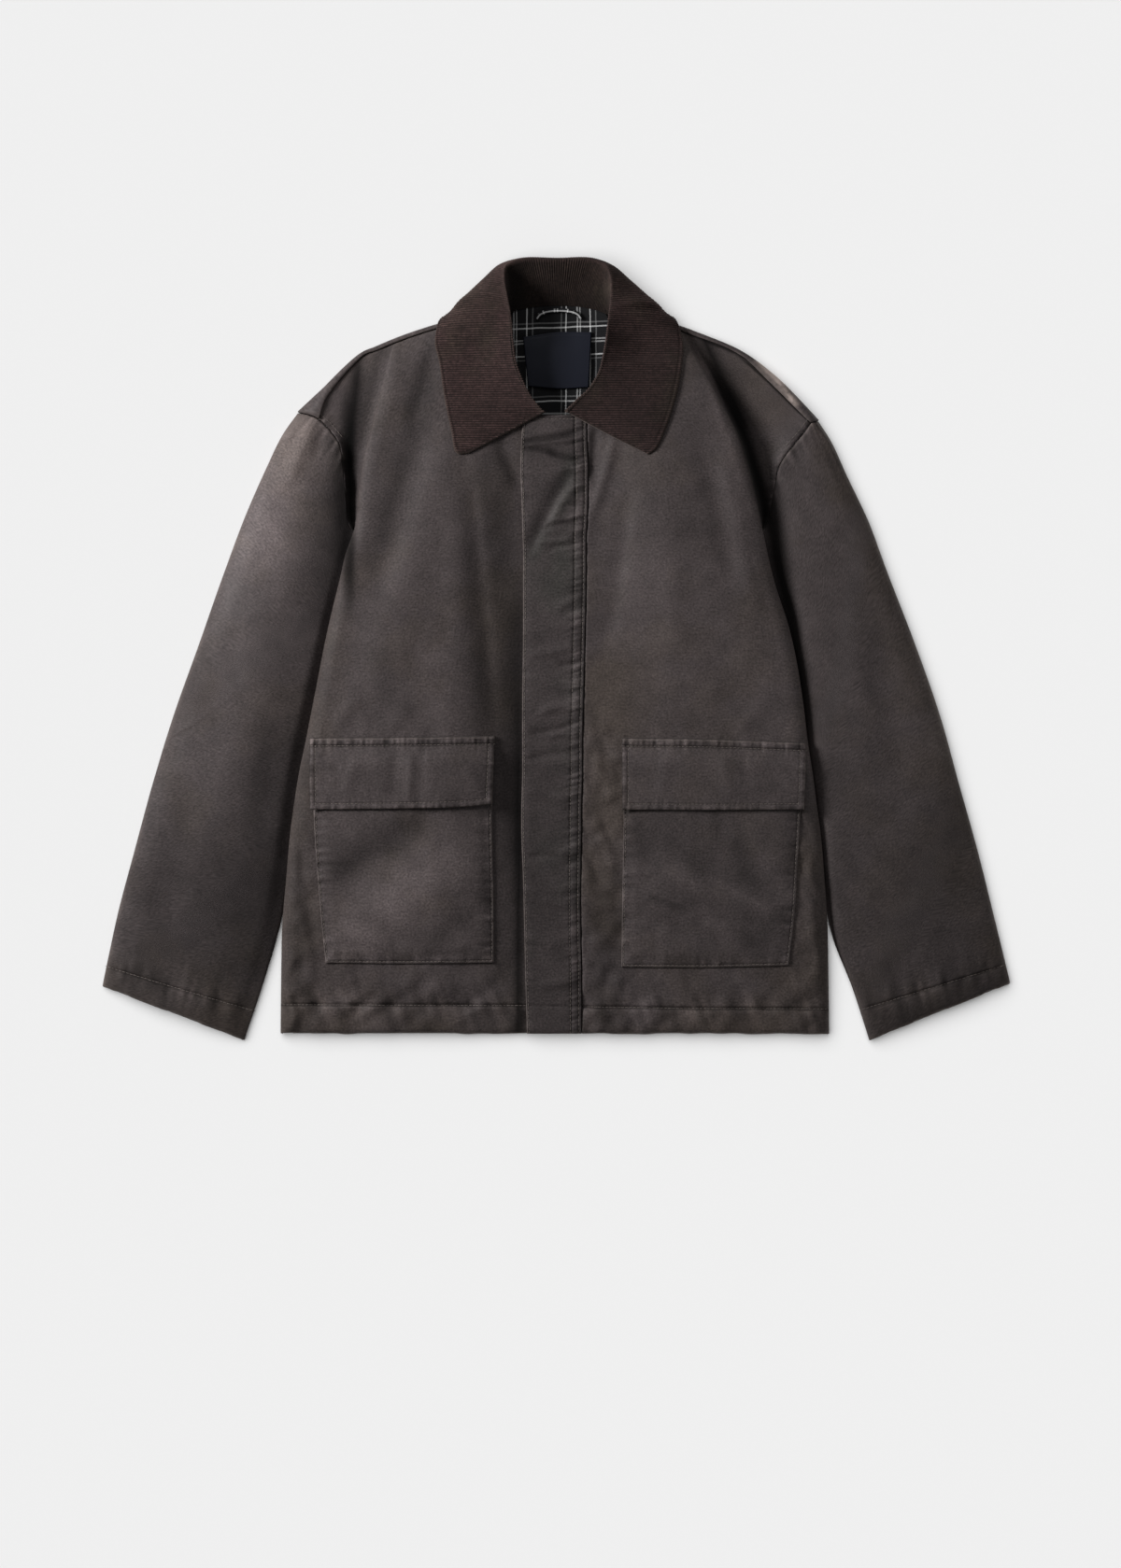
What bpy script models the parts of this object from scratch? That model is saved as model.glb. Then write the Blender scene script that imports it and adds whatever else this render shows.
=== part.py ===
"""A waxed cotton field jacket, laid flat on its back with the fronts closed, as cut and sewn pieces.

Millimetres in the tables, metres in the meshes, +Z up. The origin is the middle of the whole garment's box, on the
surface that it lies on. "Right" and "left" are the wearer's: the wearer's right is at -X.
"""

from collections import namedtuple
from math import copysign, pi, sin, sqrt

import bmesh
import bpy
from mathutils import Vector
from mathutils.bvhtree import BVHTree

# ---- driving sizes, in millimetres -------------------------------------------------------------------------------
MM = 0.001
BODY_WALL = 2.0  # waxed cotton with its lining
SLEEVE_WALL = 1.5
COLLAR_WALL = 2.5  # two layers of corduroy
PLACKET_WALL = 2.2  # folded double
POCKET_WALL = 1.5
FLAP_WALL = 2.0  # folded double
LINING_WALL = 1.0
LABEL_WALL = 1.0
LOOP_WALL = 1.2
SEAM_GAP = 0.4  # between pieces sewn edge to edge
LAY_GAP = 0.5  # between a piece and the panel it lies on
ARMHOLE_GAP = 1.5
SHOULDER_INSET = 3.2  # least distance from the shoulder's outline in to its seam
SHOULDER_GAP = 1.1  # measured on top, because the strip's wall leans in under it
NECK_POINT_GAP = 2.6  # the same at the neck end, under the collar
COLLAR_GAP = 1.1
FRONT_ROLL = 30.0  # width over which a front rounds off to its side fold
SLEEVE_ROLL_OUT = 26.0
SLEEVE_ROLL_IN = 34.0
TOP_STEPS = 3  # rows of facets from the chest up to the shoulder seam
STAND_STEPS = 3  # facets across the collar, below its roll
FALL_STEPS = 5
NECK_STEPS = 6  # facets across the back neck

# ---- finishes: linear colour and roughness -----------------------------------------------------------------------
WAXED = ("waxed_cotton", (0.080, 0.068, 0.065), 0.62)
CORDUROY = ("corduroy", (0.038, 0.025, 0.022), 0.85)
PLAID = ("plaid_lining", (0.012, 0.012, 0.013), 0.80)
SATIN = ("label_satin", (0.012, 0.013, 0.018), 0.45)


def table(columns, rows):
    """Rows with named columns."""
    row_type = namedtuple("Row", columns)
    return [row_type(*row) for row in rows]


# ---- fronts: a row for each section across, from the hem up to the chest -----------------------------------------
# From the side: the seam, the tuck behind the fold, the fold (the outermost line), the pocket's two edges, the
# placket line and the centre edge. Above the underarm the seam is the armhole and the tuck is the deep crease.
FRONT = (
    "y seam_x seam_z tuck_x tuck_z fold_x fold_z pocket_out pocket_in placket_x centre_x "
    "crown_z centre_z"
)
RIGHT_FRONT = table(FRONT, [
    (-386.3, -266.0, 0.0, -272.0, 0.8, -277.8, 5.5, -229.0, -61.6, -29.6, 24.9, 13.0, 11.0),
    (-317.7, -264.0, 0.0, -271.0, 0.8, -277.0, 7.0, -231.7, -61.6, -31.5, 24.9, 17.0, 13.0),
    (-276.4, -262.0, 0.0, -269.0, 1.0, -276.0, 8.0, -235.5, -62.5, -32.4, 24.9, 19.0, 14.0),
    (-233.1, -252.0, 0.0, -262.0, 1.0, -272.1, 11.0, -238.3, -62.5, -33.4, 24.9, 21.0, 15.0),
    (-181.4, -243.0, 0.0, -253.0, 1.0, -267.4, 14.0, -242.0, -63.4, -35.2, 24.9, 22.0, 15.0),
    (-160.7, -240.0, 0.0, -250.0, 1.0, -264.6, 14.5, -243.9, -64.4, -35.2, 24.9, 22.0, 15.0),
    (-125.0, -234.0, 0.0, -244.0, 1.0, -259.0, 15.5, -246.0, -62.5, -34.3, 24.9, 23.0, 15.5),
    (-88.4, -226.0, 0.0, -236.0, 1.0, -251.4, 16.0, -247.4, -61.6, -34.3, 24.9, 24.0, 16.0),
    (-55.5, -219.0, 0.0, -229.0, 1.0, -244.9, 16.5, -234.5, -61.6, -34.3, 24.9, 25.0, 16.5),
    (20.7, -204.0, 0.0, -214.0, 1.0, -229.8, 17.0, -213.8, -61.6, -33.4, 24.9, 27.0, 16.5),
    (71.4, -192.0, 0.0, -202.0, 1.0, -217.6, 17.5, -198.8, -61.6, -33.4, 24.9, 28.0, 16.5),
    (101.5, -188.0, 0.0, -196.0, 1.0, -210.1, 18.0, -191.3, -61.6, -33.4, 24.9, 28.0, 16.5),
    (110.9, -197.5, 6.0, -200.0, 6.3, -206.5, 18.5, -189.0, -61.6, -33.8, 24.9, 28.0, 16.5),
    (127.8, -208.0, 6.5, -205.5, 5.2, -201.5, 19.5, -185.6, -61.6, -34.3, 24.9, 28.0, 16.5),
    (156.0, -211.0, 7.0, -206.0, 5.2, -198.8, 21.0, -180.0, -62.5, -35.2, 24.9, 28.0, 16.5),
    (185.2, -213.8, 9.5, -206.5, 5.6, -195.0, 22.0, -172.5, -63.4, -36.2, 24.9, 27.5, 16.5),
    (200.2, -215.7, 11.5, -206.3, 6.5, -192.0, 22.0, -168.0, -63.9, -35.7, 24.9, 27.0, 16.5),
    (212.4, -220.4, 13.5, -206.0, 7.5, -188.5, 21.5, -164.0, -64.4, -35.2, 24.9, 26.5, 16.5),
    (223.7, -229.8, 15.5, -205.5, 8.0, -185.5, 21.0, -160.0, -64.4, -34.3, 24.9, 26.0, 16.5),
])
LEFT_FRONT = table(FRONT, [
    (-386.3, 263.0, 0.0, 269.0, 0.8, 274.9, 5.5, 234.5, 64.4, 45.0, 25.8, 13.0, 13.6),
    (-318.7, 261.0, 0.0, 268.0, 0.8, 274.0, 7.0, 233.6, 64.4, 45.0, 25.8, 17.0, 15.6),
    (-276.4, 259.0, 0.0, 266.0, 1.0, 273.1, 8.0, 239.2, 64.4, 45.0, 24.9, 19.0, 16.6),
    (-233.1, 250.0, 0.0, 260.0, 1.0, 270.2, 11.0, 242.0, 65.3, 45.0, 24.9, 21.0, 17.6),
    (-181.4, 241.0, 0.0, 251.0, 1.0, 265.6, 14.0, 244.9, 66.3, 46.0, 25.8, 22.0, 17.6),
    (-160.7, 238.0, 0.0, 248.0, 1.0, 262.7, 14.5, 247.7, 66.3, 46.0, 25.8, 22.0, 17.6),
    (-125.0, 233.0, 0.0, 243.0, 1.0, 258.0, 15.5, 248.4, 66.3, 46.5, 26.8, 23.0, 18.1),
    (-91.2, 227.0, 0.0, 237.0, 1.0, 252.8, 16.0, 248.8, 66.3, 46.5, 26.8, 24.0, 18.6),
    (-55.5, 223.0, 0.0, 233.0, 1.0, 248.6, 16.5, 234.5, 66.3, 47.0, 27.7, 25.0, 19.1),
    (20.7, 209.0, 0.0, 219.0, 1.0, 234.5, 17.0, 218.5, 65.3, 47.0, 29.6, 27.0, 19.1),
    (71.4, 194.0, 0.0, 204.0, 1.0, 218.5, 17.5, 203.0, 64.4, 47.0, 30.5, 28.0, 19.1),
    (101.5, 192.0, 0.0, 199.5, 1.0, 211.5, 18.0, 196.0, 64.4, 47.0, 30.5, 28.5, 19.1),
    (110.9, 201.6, 6.0, 204.0, 6.3, 209.5, 19.0, 193.0, 64.4, 47.0, 30.5, 29.0, 19.1),
    (128.8, 212.0, 6.5, 209.4, 5.2, 205.4, 21.0, 189.4, 64.4, 48.0, 31.5, 30.0, 19.1),
    (152.3, 216.7, 7.5, 208.6, 5.2, 200.6, 22.0, 183.0, 64.4, 48.0, 32.4, 30.0, 19.1),
    (169.2, 220.4, 9.0, 205.5, 5.4, 197.0, 22.5, 177.5, 64.4, 48.0, 32.4, 30.0, 19.1),
    (188.0, 225.1, 11.0, 200.8, 5.8, 192.2, 22.5, 171.5, 64.4, 48.0, 32.4, 29.5, 19.1),
    (204.0, 236.4, 13.5, 196.4, 6.2, 187.6, 22.5, 165.0, 64.4, 48.0, 31.5, 29.0, 19.1),
    (217.1, 247.7, 15.5, 191.0, 6.6, 182.2, 22.0, 159.3, 64.4, 47.5, 31.2, 28.0, 19.1),
])

# Facets between two named lines, listed from the side to the centre.
RIGHT_SPANS = (
    ("seam", "tuck", 2), ("tuck", "fold", 2), ("fold", "pocket_out", 2), ("pocket_out", "pocket_in", 6),
    ("pocket_in", "placket", 2), ("placket", "centre", 2),
)
LEFT_SPANS = (
    ("seam", "tuck", 4), ("tuck", "fold", 2), ("fold", "pocket_out", 2), ("pocket_out", "pocket_in", 6),
    ("pocket_in", "placket", 1), ("placket", "centre", 1),
)

# Upper edge of each front, a row for each line of facets from the side: the shoulder seam up to the neck point,
# then the neckline down to the centre. outline_x and outline_y are the shoulder's outer edge, on the back.
UPPER_EDGE = "x y z outline_x outline_y"
RIGHT_UPPER = table(UPPER_EDGE, [
    (-239.2, 232.2, 16.0, -259.9, 238.8),
    (-228.5, 257.0, 14.2, -231.0, 265.8),
    (-199.0, 294.6, 9.8, -200.0, 295.6),
    (-181.0, 303.6, 9.4, -181.5, 304.6),
    (-164.0, 310.9, 9.2, -164.5, 311.9),
    (-152.0, 315.5, 9.2, -152.4, 316.5),
    (-139.0, 320.0, 9.4, -139.4, 321.0),
    (-122.7, 325.2, 9.8, -123.0, 326.2),
    (-99.2, 331.8, 10.6, -99.4, 332.8),
    (-71.0, 340.3, 12.0, -71.2, 341.3),
    (-59.0, 312.0, 16.5, 0.0, 0.0),
    (-52.0, 286.0, 17.5, 0.0, 0.0),
    (-45.0, 265.0, 17.5, 0.0, 0.0),
    (-35.0, 249.0, 17.0, 0.0, 0.0),
    (-19.0, 237.0, 16.5, 0.0, 0.0),
    (4.0, 233.5, 16.5, 0.0, 0.0),
    (24.9, 233.0, 16.5, 0.0, 0.0),
])
LEFT_UPPER = table(UPPER_EDGE, [
    (256.1, 228.4, 16.0, 263.7, 230.3),
    (242.0, 241.6, 15.0, 249.0, 246.0),
    (212.0, 271.5, 13.0, 219.5, 275.5),
    (182.0, 299.4, 10.5, 184.0, 301.2),
    (136.5, 319.8, 9.0, 137.0, 320.8),
    (131.0, 321.9, 9.0, 131.4, 322.9),
    (126.5, 323.6, 9.3, 126.9, 324.6),
    (119.0, 326.0, 9.7, 119.3, 327.0),
    (111.0, 328.6, 10.0, 111.3, 329.6),
    (99.0, 332.5, 10.6, 99.3, 333.5),
    (86.0, 336.8, 11.2, 86.2, 337.8),
    (71.9, 341.2, 12.0, 72.1, 342.2),
    (63.0, 312.0, 17.5, 0.0, 0.0),
    (57.0, 288.0, 19.0, 0.0, 0.0),
    (51.0, 266.0, 19.3, 0.0, 0.0),
    (44.0, 248.0, 19.3, 0.0, 0.0),
    (31.2, 232.5, 19.1, 0.0, 0.0),
])
SHOULDER_POINTS = {"right": 10, "left": 12}  # how many of its rows are shoulder seam

# Armhole seam, from the shoulder's outer edge down to the underarm. Its first four rows are on the back's strip.
ARMHOLE = "x y z"
RIGHT_ARMHOLE = table(ARMHOLE, [
    (-259.9, 238.8, 7.0), (-252.5, 237.4, 12.5), (-245.5, 235.2, 15.2), (-239.2, 232.2, 16.0),
    (-229.8, 223.7, 15.5), (-220.4, 212.4, 13.5), (-215.7, 200.2, 11.5), (-213.8, 185.2, 9.5),
    (-211.0, 156.0, 7.0), (-208.0, 127.8, 6.5), (-197.5, 110.9, 6.0),
])
LEFT_ARMHOLE = table(ARMHOLE, [
    (263.7, 230.3, 7.0), (261.6, 230.0, 12.0), (259.0, 229.4, 15.0), (256.1, 228.4, 16.0),
    (247.7, 217.1, 15.5), (236.4, 204.0, 13.5), (225.1, 188.0, 11.0), (220.4, 169.2, 9.0),
    (216.7, 152.3, 7.5), (212.0, 128.8, 6.5), (201.6, 110.9, 6.0),
])
STRIP_ROWS = 4  # armhole rows on the back's shoulder strip, the last one shared with the front

# Sleeves, a row for each section from the armhole down to the cuff: outer and inner edge, height of the crown.
SLEEVE = "outer_x outer_y inner_x inner_y crown_z edge_z"
RIGHT_SLEEVE = table(SLEEVE, [
    (-259.9, 238.8, -201.5, 110.9, 16.0, 7.0),
    (-275.0, 217.5, -207.5, 85.0, 17.5, 6.5),
    (-292.0, 183.0, -214.5, 58.0, 18.5, 6.0),
    (-312.0, 138.0, -221.5, 28.0, 19.5, 5.6),
    (-334.0, 80.0, -229.0, -12.0, 20.0, 5.5),
    (-360.0, 6.0, -240.5, -66.0, 20.0, 5.5),
    (-385.0, -64.0, -252.5, -125.0, 20.0, 5.5),
    (-406.5, -134.0, -262.5, -186.0, 19.5, 5.5),
    (-425.0, -202.0, -270.5, -240.0, 19.0, 5.0),
    (-441.0, -262.0, -281.5, -290.0, 17.5, 5.0),
    (-450.0, -303.0, -297.0, -341.0, 15.5, 5.0),
    (-457.3, -338.0, -314.4, -392.9, 14.0, 5.0),
])
LEFT_SLEEVE = table(SLEEVE, [
    (263.7, 230.3, 206.5, 110.9, 16.0, 7.0),
    (277.0, 209.5, 210.5, 85.0, 17.5, 6.5),
    (292.5, 176.0, 216.5, 58.0, 18.5, 6.0),
    (313.5, 132.0, 227.0, 28.0, 19.5, 5.6),
    (333.0, 80.0, 235.0, -12.0, 20.0, 5.5),
    (361.5, 6.0, 244.5, -66.0, 20.0, 5.5),
    (386.0, -64.0, 252.5, -125.0, 20.0, 5.5),
    (405.5, -134.0, 261.5, -186.0, 19.5, 5.5),
    (424.5, -202.0, 269.0, -240.0, 19.0, 5.0),
    (439.5, -262.0, 278.5, -290.0, 17.5, 5.0),
    (449.5, -303.0, 298.5, -341.0, 15.5, 5.0),
    (457.3, -335.0, 315.4, -392.9, 14.0, 5.0),
])
# Where the armhole's points go across a plain section, from the outer edge (0) to the inner edge (1).
SLEEVE_SPREAD = (0.0, 0.025, 0.08, 0.17, 0.28, 0.40, 0.53, 0.66, 0.79, 0.91, 1.0)

# Collar, a row for each section round the neck, from the right leaf's front end to the left one's: the neck seam,
# the roll line, a point on the fall and the fall's outer edge. A height of 0 in the last two lies on the fronts.
# pass_at is how far down the fall it goes through that point: half way on the fronts, near the roll at the back.
COLLAR = "seam_x seam_y seam_z roll_x roll_y roll_z mid_x mid_y mid_z edge_x edge_y edge_z pass_at"
COLLAR_SECTIONS = table(COLLAR, [
    (-19.0, 238.5, 21.5, -10.8, 238.3, 26.0, -49.0, 217.8, 0.0, -88.0, 197.2, 0.0, 0.5),
    (-28.0, 245.5, 21.0, -20.5, 248.5, 28.5, -60.0, 226.5, 0.0, -100.4, 197.6, 0.0, 0.5),
    (-38.0, 256.0, 20.5, -28.5, 261.0, 31.0, -68.0, 243.0, 0.0, -105.5, 219.0, 0.0, 0.5),
    (-47.0, 271.0, 20.5, -35.5, 276.5, 33.5, -74.0, 262.0, 0.0, -110.4, 241.6, 0.0, 0.5),
    (-53.0, 288.0, 20.5, -40.5, 292.5, 36.0, -79.0, 283.0, 0.0, -114.5, 265.0, 0.0, 0.5),
    (-57.5, 304.0, 19.5, -42.5, 310.0, 38.0, -82.0, 302.0, 0.0, -118.0, 289.0, 0.0, 0.5),
    (-61.5, 320.0, 17.5, -43.7, 327.0, 39.5, -86.0, 324.0, 27.0, -122.5, 313.0, 17.5, 0.5),
    (-62.5, 328.0, 16.0, -44.7, 335.0, 40.0, -86.0, 337.5, 28.0, -119.5, 330.0, 12.5, 0.5),
    (-63.0, 335.0, 14.0, -46.0, 343.0, 40.0, -101.0, 346.5, 17.0, -107.0, 339.0, 4.0, 0.75),
    (-57.0, 343.5, 8.5, -48.8, 357.0, 40.0, -88.0, 359.5, 15.0, -84.0, 349.0, 1.5, 0.65),
    (-47.0, 345.5, 6.2, -51.5, 371.0, 39.5, -73.5, 372.5, 18.0, -62.0, 352.0, 1.5, 0.5),
    (-36.0, 345.8, 5.8, -50.0, 384.0, 38.5, -58.0, 386.0, 24.0, -44.0, 352.0, 1.5, 0.3),
    (-22.0, 346.0, 5.6, -37.0, 390.4, 37.0, -38.0, 392.0, 26.0, -26.0, 352.0, 1.5, 0.25),
    (1.0, 346.0, 5.6, 1.0, 390.8, 36.0, 1.0, 392.7, 26.0, 1.0, 352.0, 1.5, 0.25),
    (23.0, 346.0, 5.6, 37.0, 390.4, 37.0, 38.0, 392.2, 26.0, 26.0, 352.0, 1.5, 0.25),
    (37.0, 346.3, 5.8, 50.0, 384.0, 38.5, 59.0, 384.0, 24.0, 44.0, 352.0, 1.5, 0.3),
    (48.0, 346.0, 6.2, 54.0, 371.0, 39.5, 75.0, 370.5, 18.0, 62.0, 352.0, 1.5, 0.5),
    (58.0, 344.0, 8.5, 54.0, 357.0, 40.0, 91.0, 357.0, 15.0, 86.0, 349.0, 1.5, 0.65),
    (65.0, 336.0, 14.0, 52.6, 343.0, 40.0, 105.0, 344.0, 17.0, 110.5, 338.5, 4.0, 0.75),
    (65.7, 329.0, 16.5, 51.6, 335.5, 40.0, 91.0, 337.0, 28.0, 122.5, 330.0, 12.5, 0.5),
    (66.0, 321.0, 18.5, 51.0, 328.0, 39.5, 89.0, 325.0, 27.0, 127.2, 313.5, 18.0, 0.5),
    (64.0, 305.0, 21.0, 49.0, 311.0, 38.5, 88.0, 303.0, 0.0, 126.8, 291.0, 0.0, 0.5),
    (60.0, 289.0, 22.0, 46.0, 294.0, 37.0, 84.0, 284.0, 0.0, 123.5, 268.0, 0.0, 0.5),
    (55.0, 272.0, 22.3, 41.0, 277.0, 34.5, 79.0, 262.0, 0.0, 117.5, 244.0, 0.0, 0.5),
    (47.0, 256.0, 22.3, 31.0, 261.5, 32.0, 71.0, 243.0, 0.0, 109.0, 219.5, 0.0, 0.5),
    (36.0, 245.0, 22.5, 18.5, 250.5, 29.5, 60.0, 226.5, 0.0, 100.0, 201.5, 0.0, 0.5),
    (26.0, 237.5, 23.0, 8.0, 239.5, 27.0, 50.0, 217.0, 0.0, 92.0, 195.6, 0.0, 0.5),
])
STAND_SAG = 1.8  # how far the middle of the stand bows below a straight line from seam to roll

PLACKET_TOP = 236.2
NECK_EDGE_Y = 343.4  # back neck seam
LINING_LEFT, LINING_RIGHT, LINING_BOTTOM, LINING_TOP = -78.0, 84.0, 216.0, 343.6
LABEL_CORNERS = ((-26.0, 264.0), (34.3, 266.0), (-31.5, 318.0), (33.4, 321.5))
LOOP_PATH = ((-20.0, 334.0, 6.0), (-16.0, 338.6, 6.4), (-6.0, 341.8, 6.7), (11.0, 341.8, 6.7),
             (21.0, 338.6, 6.4), (25.0, 334.0, 6.0))
LOOP_WIDTH = 4.0

# ---- the scene and the shared tools ------------------------------------------------------------------------------
for old in list(bpy.data.objects):
    bpy.data.objects.remove(old, do_unlink=True)
jacket = bpy.data.collections.new("waxed_cotton_jacket")
bpy.context.scene.collection.children.link(jacket)
finishes = {}


def finish_of(name, colour, roughness):
    """The Principled material of one finish, made once."""
    if name not in finishes:
        material = bpy.data.materials.new(name)
        material.use_nodes = True
        shader = material.node_tree.nodes["Principled BSDF"]
        shader.inputs["Base Color"].default_value = (*colour, 1.0)
        shader.inputs["Roughness"].default_value = roughness
        shader.inputs["Metallic"].default_value = 0.0
        finishes[name] = material
    return finishes[name]


def mix(a, b, share):
    return a + (b - a) * share


def smooth_through(values, place):
    """The point of a smooth curve through evenly numbered points, at a place between 0 and len(values) - 1."""
    last = len(values) - 1
    start = min(int(place), last - 1)
    t = place - start
    p1, p2 = values[start], values[start + 1]
    p0 = values[max(start - 1, 0)]
    p3 = values[min(start + 2, last)]
    slope1, slope2 = (p2 - p0) * 0.5, (p3 - p1) * 0.5
    t2, t3 = t * t, t * t * t
    return p1 * (2 * t3 - 3 * t2 + 1) + slope1 * (t3 - 2 * t2 + t) + p2 * (3 * t2 - 2 * t3) + slope2 * (t3 - t2)


def cloth(name, points, wall, finish, closed=False, mirrored=False):
    """A grid moved to points[row][column] in millimetres, given its wall on the side away from its normals.

    A mirrored piece has the facets of its right half split along the other diagonal, like its left half's."""
    rows, columns = len(points) - 1, len(points[0]) - (0 if closed else 1)
    mesh = bpy.data.meshes.new(name)
    grid = bmesh.new()
    bmesh.ops.create_grid(grid, x_segments=columns, y_segments=rows, size=1.0)
    grid.verts.ensure_lookup_table()
    for index, vertex in enumerate(grid.verts):
        row, column = divmod(index, columns + 1)
        vertex.co = Vector(points[row][column % len(points[0])]) * MM
    if closed:
        bmesh.ops.remove_doubles(grid, verts=grid.verts, dist=1e-7)
    if mirrored:
        right = [face for face in grid.faces if face.calc_center_median().x < 0.0]
        bmesh.ops.triangulate(grid, faces=right, quad_method="ALTERNATE")
    grid.to_mesh(mesh)
    grid.free()
    piece = bpy.data.objects.new(name, mesh)
    jacket.objects.link(piece)
    thickness = piece.modifiers.new("wall", "SOLIDIFY")
    thickness.thickness = wall * MM
    thickness.offset = -1.0
    thickness.use_even_offset = False
    mesh.materials.append(finish_of(*finish))
    mesh.shade_smooth()
    return piece


def moved_out(panel, points, columns, rows, distances):
    """Points of a panel's grid, moved out along its normals by a distance for each row."""
    across = len(points[0])
    out = []
    for row, distance in zip(rows, distances):
        line = []
        for column in columns:
            vertex = panel.data.vertices[row * across + column]
            line.append(tuple((vertex.co + vertex.normal * distance * MM) / MM))
        out.append(line)
    return out


# ---- the fronts --------------------------------------------------------------------------------------------------
def front_height(row, x):
    """Height of a front's outer face between its fold and its centre edge."""
    from_fold = abs(x - row.fold_x)
    width = abs(row.centre_x - row.fold_x)
    rounding = sqrt(1.0 - (1.0 - min(from_fold / FRONT_ROLL, 1.0)) ** 2)
    crown = mix(row.fold_z, row.crown_z, rounding)
    inwards = min(max((from_fold / width - 0.5) / 0.5, 0.0), 1.0)
    return mix(crown, row.centre_z, inwards * inwards * (3.0 - 2.0 * inwards))


def front_section(row, spans):
    """Points across a front, from its seam round the fold and over to its centre edge."""
    line = {"seam": row.seam_x, "tuck": row.tuck_x, "fold": row.fold_x, "pocket_out": row.pocket_out,
            "pocket_in": row.pocket_in, "placket": row.placket_x, "centre": row.centre_x}
    under = {"seam": row.seam_z, "tuck": row.tuck_z, "fold": row.fold_z}
    points = []
    for start, end, steps in spans:
        for step in range(steps):
            x = mix(line[start], line[end], step / steps)
            if end in under:
                z = mix(under[start], under[end], step / steps)
            else:
                z = front_height(row, x)
            points.append((x, row.y, z))
    points.append((row.centre_x, row.y, front_height(row, row.centre_x)))
    return points


def shoulder_seam(row):
    """A point of the shoulder seam, and the direction from it to the outline: no nearer than the inset."""
    seam = Vector((row.x, row.y, row.z))
    out = Vector((row.outline_x, row.outline_y, row.z)) - seam
    away = out.normalized()
    return seam - away * max(0.0, SHOULDER_INSET - out.length), away


def front_points(side, table_rows, spans, upper):
    """The whole grid of a front: its sections, then the rows that rise to the shoulder seam and neckline."""
    sections = [front_section(row, spans) for row in table_rows]
    chest = sections[-1]
    top = [Vector((row.x, row.y, row.z)) for row in upper]
    for column in range(1, SHOULDER_POINTS[side]):
        top[column], _ = shoulder_seam(upper[column])
    for step in range(1, TOP_STEPS + 1):
        up = step / TOP_STEPS
        line = []
        for low, high in zip(chest, top):
            z = mix(low[2], high.z, up * up if low[2] > high.z else up)
            line.append((mix(low[0], high.x, up), mix(low[1], high.y, up), z))
        sections.append(line)
    return sections


def make_fronts():
    """Both fronts, each with the grid of points it was made from."""
    right = front_points("right", RIGHT_FRONT, RIGHT_SPANS, RIGHT_UPPER)
    left = front_points("left", LEFT_FRONT, LEFT_SPANS, LEFT_UPPER)
    left = [line[::-1] for line in left]
    right_panel = cloth("front_right", right, BODY_WALL, WAXED)
    left_panel = cloth("front_left", left, BODY_WALL, WAXED)
    return (right_panel, right), (left_panel, left)


# ---- the back ----------------------------------------------------------------------------------------------------
def shoulder_strip(upper, armhole, column, last):
    """Points of the back's strip at one column of the shoulder seam: from the ground, round the edge, to the seam."""
    row = upper[column]
    seam, away = shoulder_seam(row)
    if column == 0:
        inwards = Vector((-copysign(SEAM_GAP, row.x), SEAM_GAP, 0.0))
        edge = [Vector(point) + inwards for point in armhole[:STRIP_ROWS]]
        ground = edge[0].copy()
    else:
        low = Vector((row.outline_x, row.outline_y, 0.45 * row.z))
        edge = [low]
        for step in range(1, STRIP_ROWS):
            t = step / (STRIP_ROWS - 1)
            flat = low.lerp(seam, 1.0 - sqrt(1.0 - t * t))
            edge.append(Vector((flat.x, flat.y, mix(low.z, seam.z, sin(0.5 * pi * t)))))
        ground = low - away * 3.0
    edge[-1] = edge[-1] + away * (NECK_POINT_GAP if column == last else SHOULDER_GAP)
    return [(ground.x, ground.y, 0.0)] + [tuple(point) for point in edge]


def make_back():
    """The back, flat on its outer face, with a strip at each shoulder that comes up over the edge to its seam."""
    right_count, left_count = SHOULDER_POINTS["right"], SHOULDER_POINTS["left"]
    strips = [shoulder_strip(RIGHT_UPPER, RIGHT_ARMHOLE, c, right_count - 1) for c in range(right_count)]
    for step in range(1, NECK_STEPS):
        x = mix(RIGHT_UPPER[right_count - 1].x, LEFT_UPPER[left_count - 1].x, step / NECK_STEPS)
        strips.append([(x, NECK_EDGE_Y - 2.0 * (STRIP_ROWS - row), 0.0) for row in range(STRIP_ROWS + 1)])
    strips += [shoulder_strip(LEFT_UPPER, LEFT_ARMHOLE, c, left_count - 1) for c in range(left_count)][::-1]
    widths = [strip[0][0] for strip in strips]
    shares = [(x - widths[0]) / (widths[-1] - widths[0]) for x in widths]
    points = []
    for right_row, left_row in zip(RIGHT_FRONT, LEFT_FRONT):
        start, end = right_row.seam_x + SEAM_GAP, left_row.seam_x - SEAM_GAP
        points.append([(mix(start, end, s), mix(right_row.y, left_row.y, s), 0.0) for s in shares])
    chest = points[-1]
    for step in range(1, TOP_STEPS + 1):
        up = step / TOP_STEPS
        line = [tuple(Vector(low).lerp(Vector(strip[0]), up)) for low, strip in zip(chest, strips)]
        if step < TOP_STEPS:
            for place, armhole in ((0, RIGHT_ARMHOLE), (-1, LEFT_ARMHOLE)):
                beside = armhole[STRIP_ROWS - step]
                line[place] = (beside.x, beside.y + SEAM_GAP, 0.0)
        points.append(line)
    for row in range(1, STRIP_ROWS + 1):
        points.append([strip[row] for strip in strips])
    return cloth("back", [line[::-1] for line in points], BODY_WALL, WAXED)


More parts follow.
